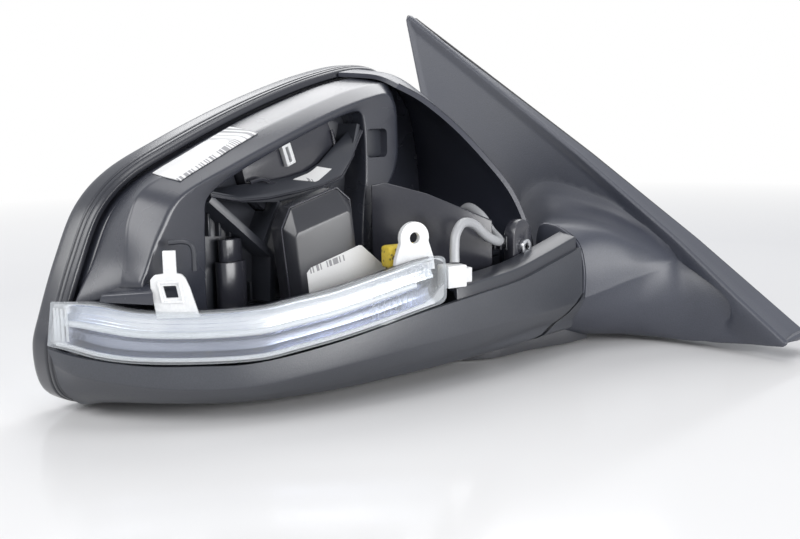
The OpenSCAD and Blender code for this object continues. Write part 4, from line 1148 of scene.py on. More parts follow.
class RepeatedRow:
    """Geometry Nodes that set one small block on every point of a guide mesh."""

    def __init__(self, name: str) -> None:
        """Builds the tree with its named inputs.

        Args:
            name: name of the tree.
        """
        tree = bpy.data.node_groups.new(name, "GeometryNodeTree")
        face = tree.interface
        face.new_socket("Guide", in_out="INPUT", socket_type="NodeSocketGeometry")
        face.new_socket("Size", in_out="INPUT", socket_type="NodeSocketVector")
        face.new_socket("Finish", in_out="INPUT", socket_type="NodeSocketMaterial")
        face.new_socket("Pieces", in_out="OUTPUT", socket_type="NodeSocketGeometry")
        start, end = tree.nodes.new("NodeGroupInput"), tree.nodes.new("NodeGroupOutput")
        block = tree.nodes.new("GeometryNodeMeshCube")
        turn = tree.nodes.new("GeometryNodeInputNamedAttribute")
        turn.data_type = "FLOAT_VECTOR"
        turn.inputs["Name"].default_value = "turn"
        spread = tree.nodes.new("GeometryNodeInstanceOnPoints")
        real = tree.nodes.new("GeometryNodeRealizeInstances")
        paint = tree.nodes.new("GeometryNodeSetMaterial")
        link = tree.links.new
        link(start.outputs["Guide"], spread.inputs["Points"])
        link(start.outputs["Size"], block.inputs["Size"])
        link(block.outputs["Mesh"], spread.inputs["Instance"])
        link(turn.outputs["Attribute"], spread.inputs["Rotation"])
        link(spread.outputs["Instances"], real.inputs["Geometry"])
        link(real.outputs["Geometry"], paint.inputs["Geometry"])
        link(start.outputs["Finish"], paint.inputs["Material"])
        link(paint.outputs["Geometry"], end.inputs["Pieces"])
        self.tree = tree
        self.ids = {s.name: s.identifier for s in face.items_tree if s.in_out == "INPUT"}

    def make(
        self, shop: Workshop, name: str, spots: Rows, turns: Rows, size: Sequence[float], finish: str,
        body: str, edge: float = 0.0,
    ) -> Object:
        """Bakes one row of blocks.

        Args:
            shop: makes pieces.
            name: name of the piece.
            spots: centres in millimetres.
            turns: Euler angles in radians for each centre.
            size: block size in millimetres.
            finish: key of the finish.
            body: the CAD body the row rides on.
            edge: rounding of the blocks.
        Returns:
            The baked piece.
        """
        mesh = bpy.data.meshes.new(name)
        mesh.from_pydata([tuple(np.asarray(p) * MM) for p in spots], [], [])
        data = mesh.attributes.new("turn", "FLOAT_VECTOR", "POINT")
        data.data.foreach_set("vector", np.asarray(turns, np.float32).ravel())
        made = in_scene(name, mesh)
        mod = made.modifiers.new("row", "NODES")
        mod.node_group = self.tree
        mod[self.ids["Size"]] = tuple(s * MM for s in size)
        mod[self.ids["Finish"]] = shop.finishes[finish]
        shop.settle(made)
        if edge > 0:
            shop.soften(made, edge)
        return shop.dress(made, finish, body)


# ---- foot: sail and arm ----
SAIL_FOOT_X, SAIL_FOOT_Z, SAIL_SLOPE = -27.5, -49.0, 0.14


def sail_x(z: float | Rows) -> float | Rows:
    """Place of the sail's face across the car at height z."""
    return SAIL_FOOT_X + SAIL_SLOPE * (z - SAIL_FOOT_Z)


@dataclass
class SailAndArm:
    """Triangular cover on the door corner and the arm that leaves it, as one skin with a raised border."""

    corners: tuple = (
        (95.5, 121), (75, 65), (31.5, -44.5), (-60, -45.6), (-112, -43.8), (-143.5, -40.8), (-145, -38.6),
        (-120.7, -21.2), (-90, 1.2), (-30.5, 41.2), (37, 84),
    )
    hypotenuse: tuple = ((-146, -39.4), (-120.7, -21.2), (-90, 1.2), (-30.5, 41.2), (37, 84), (97, 122))
    rear_edge: tuple = ((97, 124), (75, 65), (31.5, -44.5))
    tip_radius: float = 3.0
    border_width: float = 6.8
    border_height: float = 1.5
    rear_width: float = 4.6
    edge_radius: float = 1.3
    gasket: float = 2.0
    wall: float = 2.2
    corner_parts: int = 7
    edge_step: float = 2.5
    front_start: float = 84.0
    front_length: float = 36.0
    front_widening: float = 9.5
    front_rise: float = 1.6
    flat_share: float = 0.14
    rear_flat_share: float = 0.2
    arm_steps: tuple = (9, 6)
    ring_depths: tuple = (0.25, 0.6, 1.0, 1.5, 2.2, 3.0, 3.8, 4.6, 5.4, 6.3, 7.2, 8.5, 10.5, 13, 16, 20)
    grid_reach: tuple = ((-140, 95), (-44, 118))
    grid_step: float = 6.0
    grid_inset: float = 22
    hole_room: float = 0.9
    wall_steps: tuple = ((0, 0), (0.0, 0.9), (0.35, 1.5), (1.0, 1.7), (1.2, 2.2))
    sections: tuple = (
        (-66, 0, (
            (-64.5, -22.5), (-65, -10), (-62, 2), (-55, 8), (-47, 11), (-40, 9), (-37.5, -10), (-38.5, -34),
            (-42, -38.6), (-48, -39), (-53.5, -36), (-59, -31.5),
        )),
        (-58, 0.1, (
            (-69, -20), (-69, -8), (-65, 4.5), (-57, 9.5), (-46, 11), (-35.5, 8), (-32.5, -12), (-33.5, -36),
            (-40, -41), (-50, -41), (-57.5, -37.5), (-64, -31),
        )),
        (-49, 0.25, (
            (-75.5, -16), (-75, -6), (-70, 4.5), (-60, 9), (-45, 11), (-30, 8), (-26, -14), (-27, -38),
            (-36, -43.5), (-52, -43.5), (-63, -39.5), (-71, -30),
        )),
        (-40, 0.45, (
            (-81, -13), (-80, -7), (-75, 1), (-64, 7), (-45, 10.8), (-24, 9), (-17, -14), (-18, -40),
            (-34, -45), (-54, -45), (-69, -41), (-78, -28.5),
        )),
        (-34, 0.65, (
            (-85, -10.8), (-83.5, -6.5), (-78, -0.5), (-66, 6.5), (-45, 12.5), (-18, 12), (-9, -14),
            (-10, -41), (-30, -45.4), (-56, -45.4), (-77, -41.5), (-86, -26.5),
        )),
        (-30, 0.85, (
            (-87.5, -9), (-85.6, -6), (-79.5, -0.5), (-67, 6.8), (-45, 14.6), (-12, 17), (0, -12), (-2, -41),
            (-28, -45.3), (-62, -45.3), (-88, -42), (-95, -25),
        )),
        (-28.4, 0.95, (
            (-88.6, -8.2), (-86.3, -5.2), (-80, 0.2), (-67, 7.8), (-45, 17), (-9, 21), (6, -10), (3, -42),
            (-27, -45.2), (-66, -45.1), (-98, -42), (-106, -24),
        )),
        (-27.5, 1, (
            (-89.2, -7.6), (-86.8, -4.8), (-80.2, 1.2), (-67, 9), (-45, 19.6), (-6, 25), (12, -8), (8, -43),
            (-26, -45.1), (-70, -44.8), (-110, -42.4), (-117, -24),
        )),
    )

    def outline(self) -> Rows:
        """Rounded outline as (y, z).

        Returns:
            The points, in order.
        """
        p = np.asarray(self.corners, float)
        n = len(p)
        rounded = []
        for i in range(n):
            a, b, c = p[i - 1], p[i], p[(i + 1) % n]
            la, lc = np.linalg.norm(a - b), np.linalg.norm(c - b)
            da, dc = (a - b) / la, (c - b) / lc
            half = math.acos(np.clip(np.dot(da, dc), -1, 1)) / 2
            reach = min(self.tip_radius / math.tan(half), MOST_ROUNDING * la, MOST_ROUNDING * lc)
            rounded.append((b, da, dc, reach))
        made = []
        for i, (b, da, dc, reach) in enumerate(rounded):
            for t in np.linspace(0, 1, self.corner_parts):
                made.append((1 - t) ** 2 * (b + da * reach) + 2 * t * (1 - t) * b + t * t * (b + dc * reach))
            after = (i + 1) % n
            first, last = b + dc * reach, p[after] - dc * rounded[after][3]
            steps = max(2, int(np.linalg.norm(last - first) / self.edge_step))
            made += [first + (last - first) * k / steps for k in range(1, steps)]
        q = np.array(made)
        keep = np.linalg.norm(q - np.roll(q, 1, 0), axis=1) > 0.08
        return q[keep]

    @staticmethod
    def distance(q: Rows, line: Rows) -> Rows:
        """Distance of points to a line of straight spans.

        Args:
            q: the points (y, z).
            line: corners of the line.
        Returns:
            One distance for each point.
        """
        a, b = line[:-1], line[1:]
        t = np.clip(((q[:, None] - a) * (b - a)).sum(-1) / ((b - a) ** 2).sum(-1), 0, 1)
        return np.linalg.norm(q[:, None] - (a + t[..., None] * (b - a)), axis=-1).min(1)

    def height(self, q: Rows, outline: Rows) -> Rows:
        """Height of the face over the sail's plane: border, tip and rounded edge.

        Args:
            q: the points (y, z).
            outline: outline of the sail.
        Returns:
            One height for each point.
        """
        front = np.clip((-q[:, 0] - self.front_start) / self.front_length, 0, 1)
        wide = self.border_width + self.front_widening * front
        across = self.distance(q, np.asarray(self.hypotenuse, float)) / wide
        t = np.clip((across - self.flat_share) / (1 - self.flat_share), 0, 1)
        rise = self.border_height + self.front_rise * front
        band = rise * (0.5 + 0.5 * np.cos(math.pi * t)) ** (1.0 - 0.25 * front)
        across = self.distance(q, np.asarray(self.rear_edge, float)) / self.rear_width
        r = np.clip((across - self.rear_flat_share) / (1 - self.rear_flat_share), 0, 1)
        rear = self.border_height * (0.5 + 0.5 * np.cos(math.pi * r))
        ring = np.concatenate([outline, outline[:1]])
        d = np.minimum(self.distance(q, ring), self.edge_radius)
        k = self.edge_radius
        return np.maximum(band, rear) - (k - np.sqrt(np.maximum(k * k - (k - d) ** 2, 0)))

    def arm_rows(self) -> Rows:
        """Loops (x, y, z) of the arm with a crisp front crease, from its end to the sail's plane.

        Returns:
            An array (rows, columns, 3).
        """
        made = []
        for stand, lean, corners in self.sections:
            p = np.asarray(corners, float)
            q = open_curve(np.concatenate([p, p[:1]]), self.arm_steps[0])[:-1]
            made.append(np.stack([stand + lean * SAIL_SLOPE * (q[:, 1] - SAIL_FOOT_Z), q[:, 0], q[:, 1]], 1))
        return open_curve(np.stack(made), self.arm_steps[1])

    @staticmethod
    def inward(outline: Rows) -> Rows:
        """Unit steps (y, z) from the outline's points to its inside.

        Args:
            outline: points (y, z) in order.
        Returns:
            One step for each point.
        """
        side = np.roll(outline, -1, 0) - np.roll(outline, 1, 0)
        side /= np.linalg.norm(side, axis=1, keepdims=True)
        return np.stack([side[:, 1], -side[:, 0]], 1)

    def face(self, outline: Rows, hole: Rows) -> tuple[Rows, list]:
        """Face of the sail around the arm's root, with denser points along its edges.

        Args:
            outline: outline of the sail as (y, z).
            hole: outline of the arm's root as (y, z).
        Returns:
            The points (x, y, z) and the faces between them.
        """
        ring = np.concatenate([outline, outline[:1]])
        gate = np.concatenate([hole, hole[:1]])
        loose = []
        for d in self.ring_depths:
            q = outline + d * self.inward(outline)
            loose.append(q[self.distance(q, ring) > 0.985 * d])
        spread = [np.arange(*reach, self.grid_step) for reach in self.grid_reach]
        grid = np.stack(np.meshgrid(*spread), -1).reshape(-1, 2)
        loose.append(grid[self.distance(grid, ring) > self.grid_inset])
        q = np.concatenate(loose)
        q = q[self.distance(q, gate) > self.hole_room]
        q = q[self.inside(q, outline) & ~self.inside(q, hole)]
        points = np.concatenate([outline, hole, q])
        a, b = len(outline), len(hole)
        edges = [(i, (i + 1) % a) for i in range(a)] + [(a + i, a + (i + 1) % b) for i in range(b)]
        made, _, faces, _, _, _ = delaunay_2d_cdt([Vector(p) for p in points], edges, [], 1, 1e-5)
        flat = np.array([tuple(v) for v in made])
        middle = np.array([flat[list(f)].mean(0) for f in faces])
        kept = self.inside(middle, outline) & ~self.inside(middle, hole)
        lift = self.height(flat, outline)
        placed = np.stack([sail_x(flat[:, 1]) - lift, flat[:, 0], flat[:, 1]], 1)
        return placed, [f for f, k in zip(faces, kept) if k]

    def side_walls(self, outline: Rows) -> Rows:
        """Side walls from the face's edge back to the gasket.

        Args:
            outline: outline of the sail as (y, z).
        Returns:
            An array (rows, columns, 3).
        """
        rim = self.height(outline, outline)

        def loop(inset: float, back: float) -> Rows:
            """Loop of the wall, drawn in and set back from the face.

            Args:
                inset: how far it is drawn in.
                back: how far it is set back.
            Returns:
                The points (x, y, z).
            """
            q = outline + inset * self.inward(outline)
            x = sail_x(outline[:, 1]) - rim + back
            return np.stack([np.minimum(x, -self.gasket), q[:, 0], q[:, 1]], 1)

        walls = [loop(*step) for step in self.wall_steps]
        last = loop(self.wall_steps[-1][0], 0)
        last[:, 0] = -self.gasket
        walls += [walls[-1] + (last - walls[-1]) * t for t in (0.5, 1.0)]
        return np.stack(walls)

    def skin(self) -> Shape:
        """Open outer skin: arm end, arm, face, edge and side walls.

        Returns:
            The skin.
        """
        outline = self.outline()
        arm = self.arm_rows()
        root = arm[-1]
        lift = self.height(root[:, 1:], outline)
        arm[-1, :, 0] = sail_x(root[:, 2]) - lift
        centre = arm[0].mean(0)
        ends = [
            arm[0] + (centre - arm[0]) * s + np.array((x, 0, 0)) for s, x in ((0.05, -0.0), (0.015, 0.25))
        ]
        rows = np.stack([*ends, arm[0] + (0.9, 0, 0), *arm[1:]])
        shape = Shape().loft(rows, around=True)
        shape.faces.append(tuple(range(rows.shape[1])))
        shape.add(*self.face(outline, arm[-1][:, 1:]))
        return shape.loft(self.side_walls(outline), around=True)

    @staticmethod
    def inside(q: Rows, loop: Rows) -> Rows:
        """Whether points lie inside a loop.

        Args:
            q: the points (y, z).
            loop: corners of the loop.
        Returns:
            True or false for each point.
        """
        hit = np.zeros(len(q), bool)
        for (y0, z0), (y1, z1) in zip(loop, np.roll(loop, -1, 0)):
            cross = (z0 > q[:, 1]) != (z1 > q[:, 1])
            with np.errstate(divide="ignore", invalid="ignore"):
                hit ^= cross & (q[:, 0] < (y1 - y0) * (q[:, 1] - z0) / (z1 - z0) + y0)
        return hit

    def build(self, shop: Workshop, skin: "FrontSkin") -> None:
        """Makes the cover with its arm and the lobe under the head.

        Args:
            shop: makes pieces.
            skin: the head's skin, which the lobe continues.
        """
        cover = shop.thickened("sail_and_arm", self.skin(), self.wall, Vector((-1, 0, 0)))
        shop.cut(cover, skin.foot_clearances(shop))
        shop.dress(cover, "sail", "foot", ("sail_cover", "arm_cover"), angle=38)
        lobe = shop.raw("arm_lobe", skin.shape())
        shop.cut(lobe, [skin.under_part_line(shop, HALF_GAP), skin.lobe_box(shop)], "INTERSECT")
        shop.cut(lobe, skin.foot_clearances(shop))
        shop.dress(lobe, "housing", "foot", angle=30)


# ---- head: outer shells ----
PIVOT = (-92.0, -14.0)
PLATE_R, PLATE_LOW, PLATE_TOP = 30.0, -46.2, -39.0
PLATE_CORNERS = 96
HALF_GAP = 0.8
RIM_Y = 44.0


@dataclass
class FrontSkin:
    """Skin of the head from the lamp down to the floor, with a crisp crease below the lamp."""

    columns: tuple = (
        ((-281, 29, -18.5), (-280.5, 26, -24), (-277, 28, -34), (-269, 30, -42), (-262, 31, -44.2)),
        ((-277, 15, -20.5), (-277, 15, -27.5), (-270, 19, -37), (-262, 25, -42.5), (-252, 31.8, -45)),
        ((-264, -3, -23.5), (-264.5, -3, -31), (-258, 3, -39), (-248, 13, -43.5), (-238, 31.8, -46)),
        ((-248, -18, -24.5), (-249, -18, -33), (-243, -11, -40), (-234, 0, -44.2), (-222, 31.8, -46)),
        ((-231, -30.5, -24.5), (-231.5, -31, -33), (-227, -23, -40), (-220, -10, -44.5), (-207, 31.8, -46)),
        ((-203, -44, -20), (-204, -44.5, -29.5), (-201, -37, -38), (-196, -23, -44), (-188, 31.8, -45.5)),
        ((-169, -54.5, -13.5), (-170, -54, -26.5), (-169, -46, -36), (-166, -32, -43), (-162, 31.8, -44.5)),
        ((-137, -59.5, -10), (-138, -59.5, -25), (-137, -52, -35), (-136, -38, -42), (-135, 31.8, -43.5)),
        ((-111, -62, -7.5), (-112, -62, -24.3), (-111, -55, -33.5), (-110, -43, -41), (-110, 31.8, -42.5)),
        ((-88, -63, -3), (-88, -63.5, -24), (-88, -57.5, -32), (-88, -47, -39.5), (-90, 32, -41)),
        ((-64.8, -64, 2), (-64.8, -65, -22.5), (-64.8, -59.5, -31.5), (-64.8, -48, -38.5), (-74, 31, -34)),
    )
    part_line: tuple = ((-110, -41.8), (-98, -39.5), (-88, -36.8), (-80, -32.5), (-74, -27.5), (-70, -22.8))
    wall: float = 2.4
    crease_radius: float = 0.8
    belly: float = 0.35

    def grid(self) -> Rows:
        """Fine grid of the skin, with the crease rounded.

        Returns:
            An array (rows, columns, 3).
        """
        rows = [open_curve([c[k] for c in self.columns], 9) for k in range(5)]
        bulge = np.array((0, -self.belly, 0))
        upper = [
            rows[0] + (rows[1] - rows[0]) * t + bulge * math.sin(math.pi * t) for t in (0, 0.25, 0.5, 0.75)
        ]
        lower = list(open_curve(np.stack(rows[1:]), 7))
        radii = [0.0] * len(upper) + [self.crease_radius] + [0.0] * (len(lower) - 1)
        return rounded_rows([*upper, *lower], radii, 3)

    def shape(self) -> Shape:
        """The skin as a closed wall."""
        g = self.grid()
        return Shape().between(g, shifted(g, -self.wall))

    def under_part_line(self, shop: Workshop, gap: float) -> Object:
        """Tool: everything under the parting line.

        Args:
            shop: makes pieces.
            gap: how far the cut stays off the line.
        Returns:
            The tool.
        """
        corners = [(x + gap * 0.6, z - gap * 0.8) for x, z in self.part_line]
        corners += [(-64.5 + gap, -18), (-40, -18), (-40, -60), (-112 + gap * 0.6, -60)]
        return shop.raw("tool_part_line", Shape().prism(corners, facing_front, -90, 60))

    def lobe_box(self, shop: Workshop) -> Object:
        """Tool: the part of the skin that belongs to the arm."""
        return shop.raw("tool_lobe", Shape().block((-81.2, -54, -30), (31.6, 32, 60)))

    def foot_clearances(self, shop: Workshop) -> list[Object]:
        """Tools: room for the round plate under the head and its tongue.

        Args:
            shop: makes pieces.
        Returns:
            The tools.
        """
        link = [(-100, -43), (-80, -46), (-60, -52), (-45, -54), (-45, -33), (-57, -37), (-64, -29)]
        ring = circle(*PIVOT, PLATE_R + 0.4, PLATE_CORNERS)
        return [
            shop.raw("tool_tongue", Shape().prism(link, level, PLATE_LOW - 1.2, PLATE_TOP + 0.4)),
            shop.raw("tool_plate", Shape().prism(ring, level, PLATE_LOW - 5, PLATE_LOW + 15)),
        ]


@dataclass
class HeadShells:
    """Bezel ring, carrier, inboard shell and lower housing."""

    shop: Workshop
    rim_points: tuple = (
        (-262, -45), (-274, -38), (-277, -22), (-273, -8), (-265, 12), (-255, 31), (-240, 44), (-216, 55),
        (-188, 66), (-161, 75), (-135, 82), (-111, 86), (-94, 84), (-81, 73), (-73, 54), (-69, 30), (-68, 5),
        (-71, -18), (-80, -33), (-98, -41), (-130, -43), (-170, -45), (-215, -47), (-245, -47),
    )
    groove_points: tuple = (
        (-240, 21, -18), (-254, 22, -14), (-267, 27, -6), (-268.5, 30, -3), (-260.5, 30, 10), (-251, 30, 28),
        (-237.5, 30, 39.8), (-214, 30, 50.8), (-186.5, 30, 61.7), (-159.5, 30, 70.7), (-134.5, 29, 77.5),
        (-114, 27, 79.5), (-107, 24, 73), (-107, 23, 60), (-108, 23, 46), (-112, 23, 34), (-124, 23, 26),
        (-128, 23, 16), (-130, 23, 0), (-132, 23, -10), (-150, 23, -16), (-175, 23, -18), (-205, 23, -18),
        (-225, 23, -18),
    )
    knee_points: tuple = (
        (-236, 9, -16), (-247, 9, -10), (-258, 8, -1), (-262, 7, 3), (-260, 8, 13), (-256, 10, 28),
        (-247, 10, 39.5), (-219, 9, 50), (-189, 9, 59.5), (-161, 9, 68.2), (-137, 9, 74.5), (-117, 9, 76.5),
        (-112, 9, 70), (-112, 9, 59), (-112, 9, 45), (-117, 9, 34), (-128, 9, 26), (-131, 9, 15),
        (-133, 9, -1), (-136, 9, -11), (-150, 9, -16), (-175, 9, -17), (-205, 9, -18), (-225, 9, -18),
    )
    ridge_points: tuple = (
        (-232, -1, -14), (-243, -1, -9), (-253, -1, 1), (-260, -1, 4), (-257, -1, 11), (-249.5, -1, 24),
        (-239, -1, 36), (-212, -1, 46.5), (-186, -1, 56), (-160, -1, 64.5), (-138, -1, 70.3),
        (-127, -1, 71.5), (-121.5, -1, 66), (-120.5, -1, 56), (-121, -1, 43), (-126, -1, 33),
        (-136, -1, 24.5), (-138.5, -1, 14), (-139.5, -1, -2), (-141, -1, -12), (-150, -1, -16),
        (-175, -1, -16), (-200, -1, -16), (-218, -1, -16),
    )
    window_points: tuple = (
        (-222, 0, -12), (-229, 0, -9), (-230, 0, -4), (-230, 0, 3), (-229.5, 0, 12), (-229, 0, 25),
        (-226.5, 0, 34.5), (-210, 0, 43), (-185, 0, 52.5), (-160, 0, 61), (-147, 0, 64.3), (-142.5, 0, 63),
        (-141, 0, 58), (-140.5, 0, 51), (-140.5, 0, 43), (-141, 0, 33), (-143, 0, 22), (-144, 0, 12),
        (-144.5, 0, 1), (-146, 0, -9), (-153, 0, -12), (-175, 0, -12.5), (-195, 0, -12.5), (-210, 0, -12.5),
    )
    bezel_profile: tuple = (
        (8.5, 47, 0.8), (6.5, 48.6, 1), (4.5, 49.5, 1), (2.8, 49.5, 1), (1.2, 49, 1), (0.35, 47.6, 1.2),
        (0, 45.6, 1.5), (0, 42, 1.5), (0.1, 38.4, 0.5), (0.35, 37.7, 0.25), (0.9, 37.45, 0.1),
        (0.9, 37.05, 0.1), (0.5, 36.9, 0.25), (0.7, 35.6, 0.3), (1.25, 35.3, 0.12), (1.3, 34.9, 0.12),
        (1.05, 34.7, 0.2), (1.6, 33.7, 0.4), (2.3, 33.1, 0.4), (4.1, 32.9, 0.25), (4.4, 33.3, 0.2),
        (4.3, 37, 0.5), (4.6, 40, 0.8), (8.5, 43, 0.6),
    )
    inboard_rows: tuple = (
        (
            (-124, 31.9, 82.2), (-110.5, 31.9, 83.7), (-95, 31.9, 81.4), (-83.2, 31.9, 71.6),
            (-75.4, 31.9, 53.5), (-71.4, 31.9, 30), (-70.4, 31.9, 5), (-73.4, 31.9, -17.5),
            (-82, 31.9, -31.4),
        ),
        (
            (-118, 14, 80.5), (-108, 12, 80.4), (-97, 9, 74.5), (-86, 6, 64), (-76, 3, 48), (-69, 2, 29),
            (-65, 2, 6), (-65.5, 3, -15), (-69.5, 4, -30),
        ),
        (
            (-119.5, -1, 76), (-112.5, -10, 69.5), (-104, -21, 58), (-94, -31, 43), (-84, -37, 29),
            (-77, -40, 15), (-74, -42, 2), (-73, -43, -12), (-75, -41, -23),
        ),
    )
    inboard_wall: float = 2.0
    ledge_line: tuple = (
        (-147, -57.6, -11), (-137, -59.5, -10), (-111, -62, -7.5), (-88, -63, -3), (-67.5, -64, 1.8),
    )
    ledge_profile: tuple = (
        (0.9, -1.2), (2.4, -0.9), (2.6, 4.0), (3.1, 4.6), (11.5, 6.4), (11.5, 4.6), (4.4, 2.2), (2.6, -2.2),
    )
    steps: int = 8
    window_back: float = 12.8
    pocket_centre: tuple = (-133.6, 0.0, 50.5)
    label_span: tuple = (6.25, 1.5)
    label_top: tuple = (0.4, 0.22)
    label_foot: tuple = (1.56, 0.36)
    label_lines: int = 17
    skin: FrontSkin = field(default_factory=FrontSkin)

    def rim(self) -> Rows:
        """Rim curve of the mirror opening."""
        return closed_curve([(x, RIM_Y, z) for x, z in self.rim_points], self.steps)

    def bezel(self) -> None:
        """Bezel ring with its rounded band, double seam and inner ledge."""
        rim = self.rim()
        rows = [at_depth(drawn_in(rim, d), y) for d, y, _ in self.bezel_profile]
        rows = rounded_rows(rows, [radius for _, _, radius in self.bezel_profile], 3, wrap=True)
        band = Shape().loft(rows, around=True, wrap=True)
        self.shop.piece("bezel_band", band, "rim", "head", ("bezel_ring",), angle=60)

    def carrier_loops(self) -> dict[str, Rows]:
        """Driving curves of the carrier."""
        names = ("groove", "knee", "ridge", "window")
        return {n: closed_curve(getattr(self, n + "_points"), self.steps) for n in names}

    def carrier(self) -> None:
        """Carrier shell: channel behind the bezel, bevels, ridge and window."""
        c = self.carrier_loops()
        rim = self.rim()
        window = c["window"]

        def floor(inset: float, lift: float) -> Rows:
            """Loop on the channel's floor, inside the rim and behind the groove."""
            loop = drawn_in(rim, inset)
            return np.stack([loop[:, 0], c["groove"][:, 1] + lift, loop[:, 2]], 1)

        def skirt(inset: float, y: float) -> Rows:
            """Loop inside the rim at depth y."""
            return at_depth(drawn_in(rim, inset), y)

        outer = [
            skirt(5.2, 36.5), skirt(6.4, 31.5), floor(7.4, 1), c["groove"], c["knee"], c["ridge"], window,
        ]
        back = [at_depth(window, self.window_back), at_depth(drawn_in(window, -2), self.window_back)]
        inner = [
            (c["ridge"] + window) / 2 * (1, 0, 1) + (0, 2.2, 0),
            back_by(drawn_in(c["knee"], 2.2), 1.6),
            back_by(drawn_in(c["groove"], 2), 2),
            floor(9.4, 3),
            skirt(8.2, 33.6),
            skirt(7.2, 36.5),
        ]
        rows = outer + back + inner
        radii = [0.3, 0.8, 1.0, 2.6, 1.3, 1.7, 0.9, 0, 0, 0.4, 0.6, 0.8, 0.5, 0.5, 0.3]
        rows = rounded_rows(rows, radii, 4, wrap=True)
        shell = self.shop.raw("carrier_bevels", Shape().loft(rows, around=True, wrap=True))
        x, y, z = self.pocket_centre
        exit_slot = Shape().block((-131, 15.6, 6), (30, 6.4, 11.2))
        pocket = self.shop.raw("tool_pocket", Shape().block((x, y, z), (12.5, 9.0, 12.5)))
        self.shop.soften(pocket, 2.2, 3)
        self.shop.cut(shell, [self.shop.raw("tool_exit", exit_slot), pocket])
        self.shop.dress(shell, "carrier", "head", ("carrier_shell",), angle=34)
        lip = Shape().block((x, y + 3.4, z), (12.1, 0.8, 12.1))
        self.shop.piece("pocket_floor", lip, "inner", "head", edge=0.3)

    def label(self) -> None:
        """Paper label on the upper bevel."""
        c = self.carrier_loops()
        rows = []
        shares = np.linspace(0, 1, self.label_lines)
        start, length = self.label_span
        (top, top_fall), (foot, foot_fall) = self.label_top, self.label_foot
        for s in shares:
            line = []
            for k in shares:
                u = (start + length * k) * self.steps
                i, r = int(u), u - int(u)
                f = (top - top_fall * k) * (1 - s) + (foot - foot_fall * k) * s
                a, b, d = (c[n][i] * (1 - r) + c[n][i + 1] * r for n in ("groove", "knee", "ridge"))
                line.append(a * (1 - f) + b * f if f < 1 else b * (2 - f) + d * (f - 1))
            rows.append(line)
        grid = np.array(rows)
        for _ in range(3):
            grid[1:-1] = (grid[:-2] + grid[1:-1] + grid[2:]) / 3
        sheet = Shape().between(shifted(grid, 0.55), shifted(grid, 0.2))
        self.shop.piece("upper_label", sheet, "carrier_label", "head", ("carrier_label",))

    def inboard(self) -> None:
        """Inboard shell that turns round to the sail."""
        g = smooth_grid(self.inboard_rows, 9, 9)
        shell = self.shop.raw("inboard_wall", Shape().between(g, shifted(g, -self.inboard_wall)))
        self.shop.cut(shell, [self.skin.under_part_line(self.shop, HALF_GAP)])
        self.shop.dress(shell, "inboard", "head", ("inboard_shell",), angle=34)
        bead = Shape().tube(open_curve(self.inboard_rows[-1], 9) + np.array((0.6, 0.5, 0)), 0.55, 8)
        self.shop.piece("inboard_bead", bead, "rim", "head")

    def lower(self) -> None:
        """Lower housing, cut at the parting line and over the round plate."""
        shell = self.shop.raw("lower_skin", self.skin.shape())
        plate = Shape().prism(circle(*PIVOT, PLATE_R + 1.5, PLATE_CORNERS), level, -60, -35)
        gap_box = Shape().block((-47.1, -70, -20), (40, 60, 80))
        tools = [self.skin.under_part_line(self.shop, -HALF_GAP), self.shop.raw("tool_gap", gap_box)]
        self.shop.cut(shell, [*tools, self.shop.raw("tool_disc", plate)])
        self.shop.dress(shell, "housing", "head", ("lower_housing",), angle=30)
        line = open_curve(self.ledge_line, 8)
        rows = np.stack([line + np.array((0, dy, dz)) for dy, dz in self.ledge_profile], 1)
        step = Shape().loft(rows, around=True, caps=True)
        self.shop.piece("ledge_step", step, "inner", "head", edge=0.25)

    def build(self) -> None:
        """Makes all shells."""
        self.bezel()
        self.carrier()
        self.label()
        self.inboard()
        self.lower()


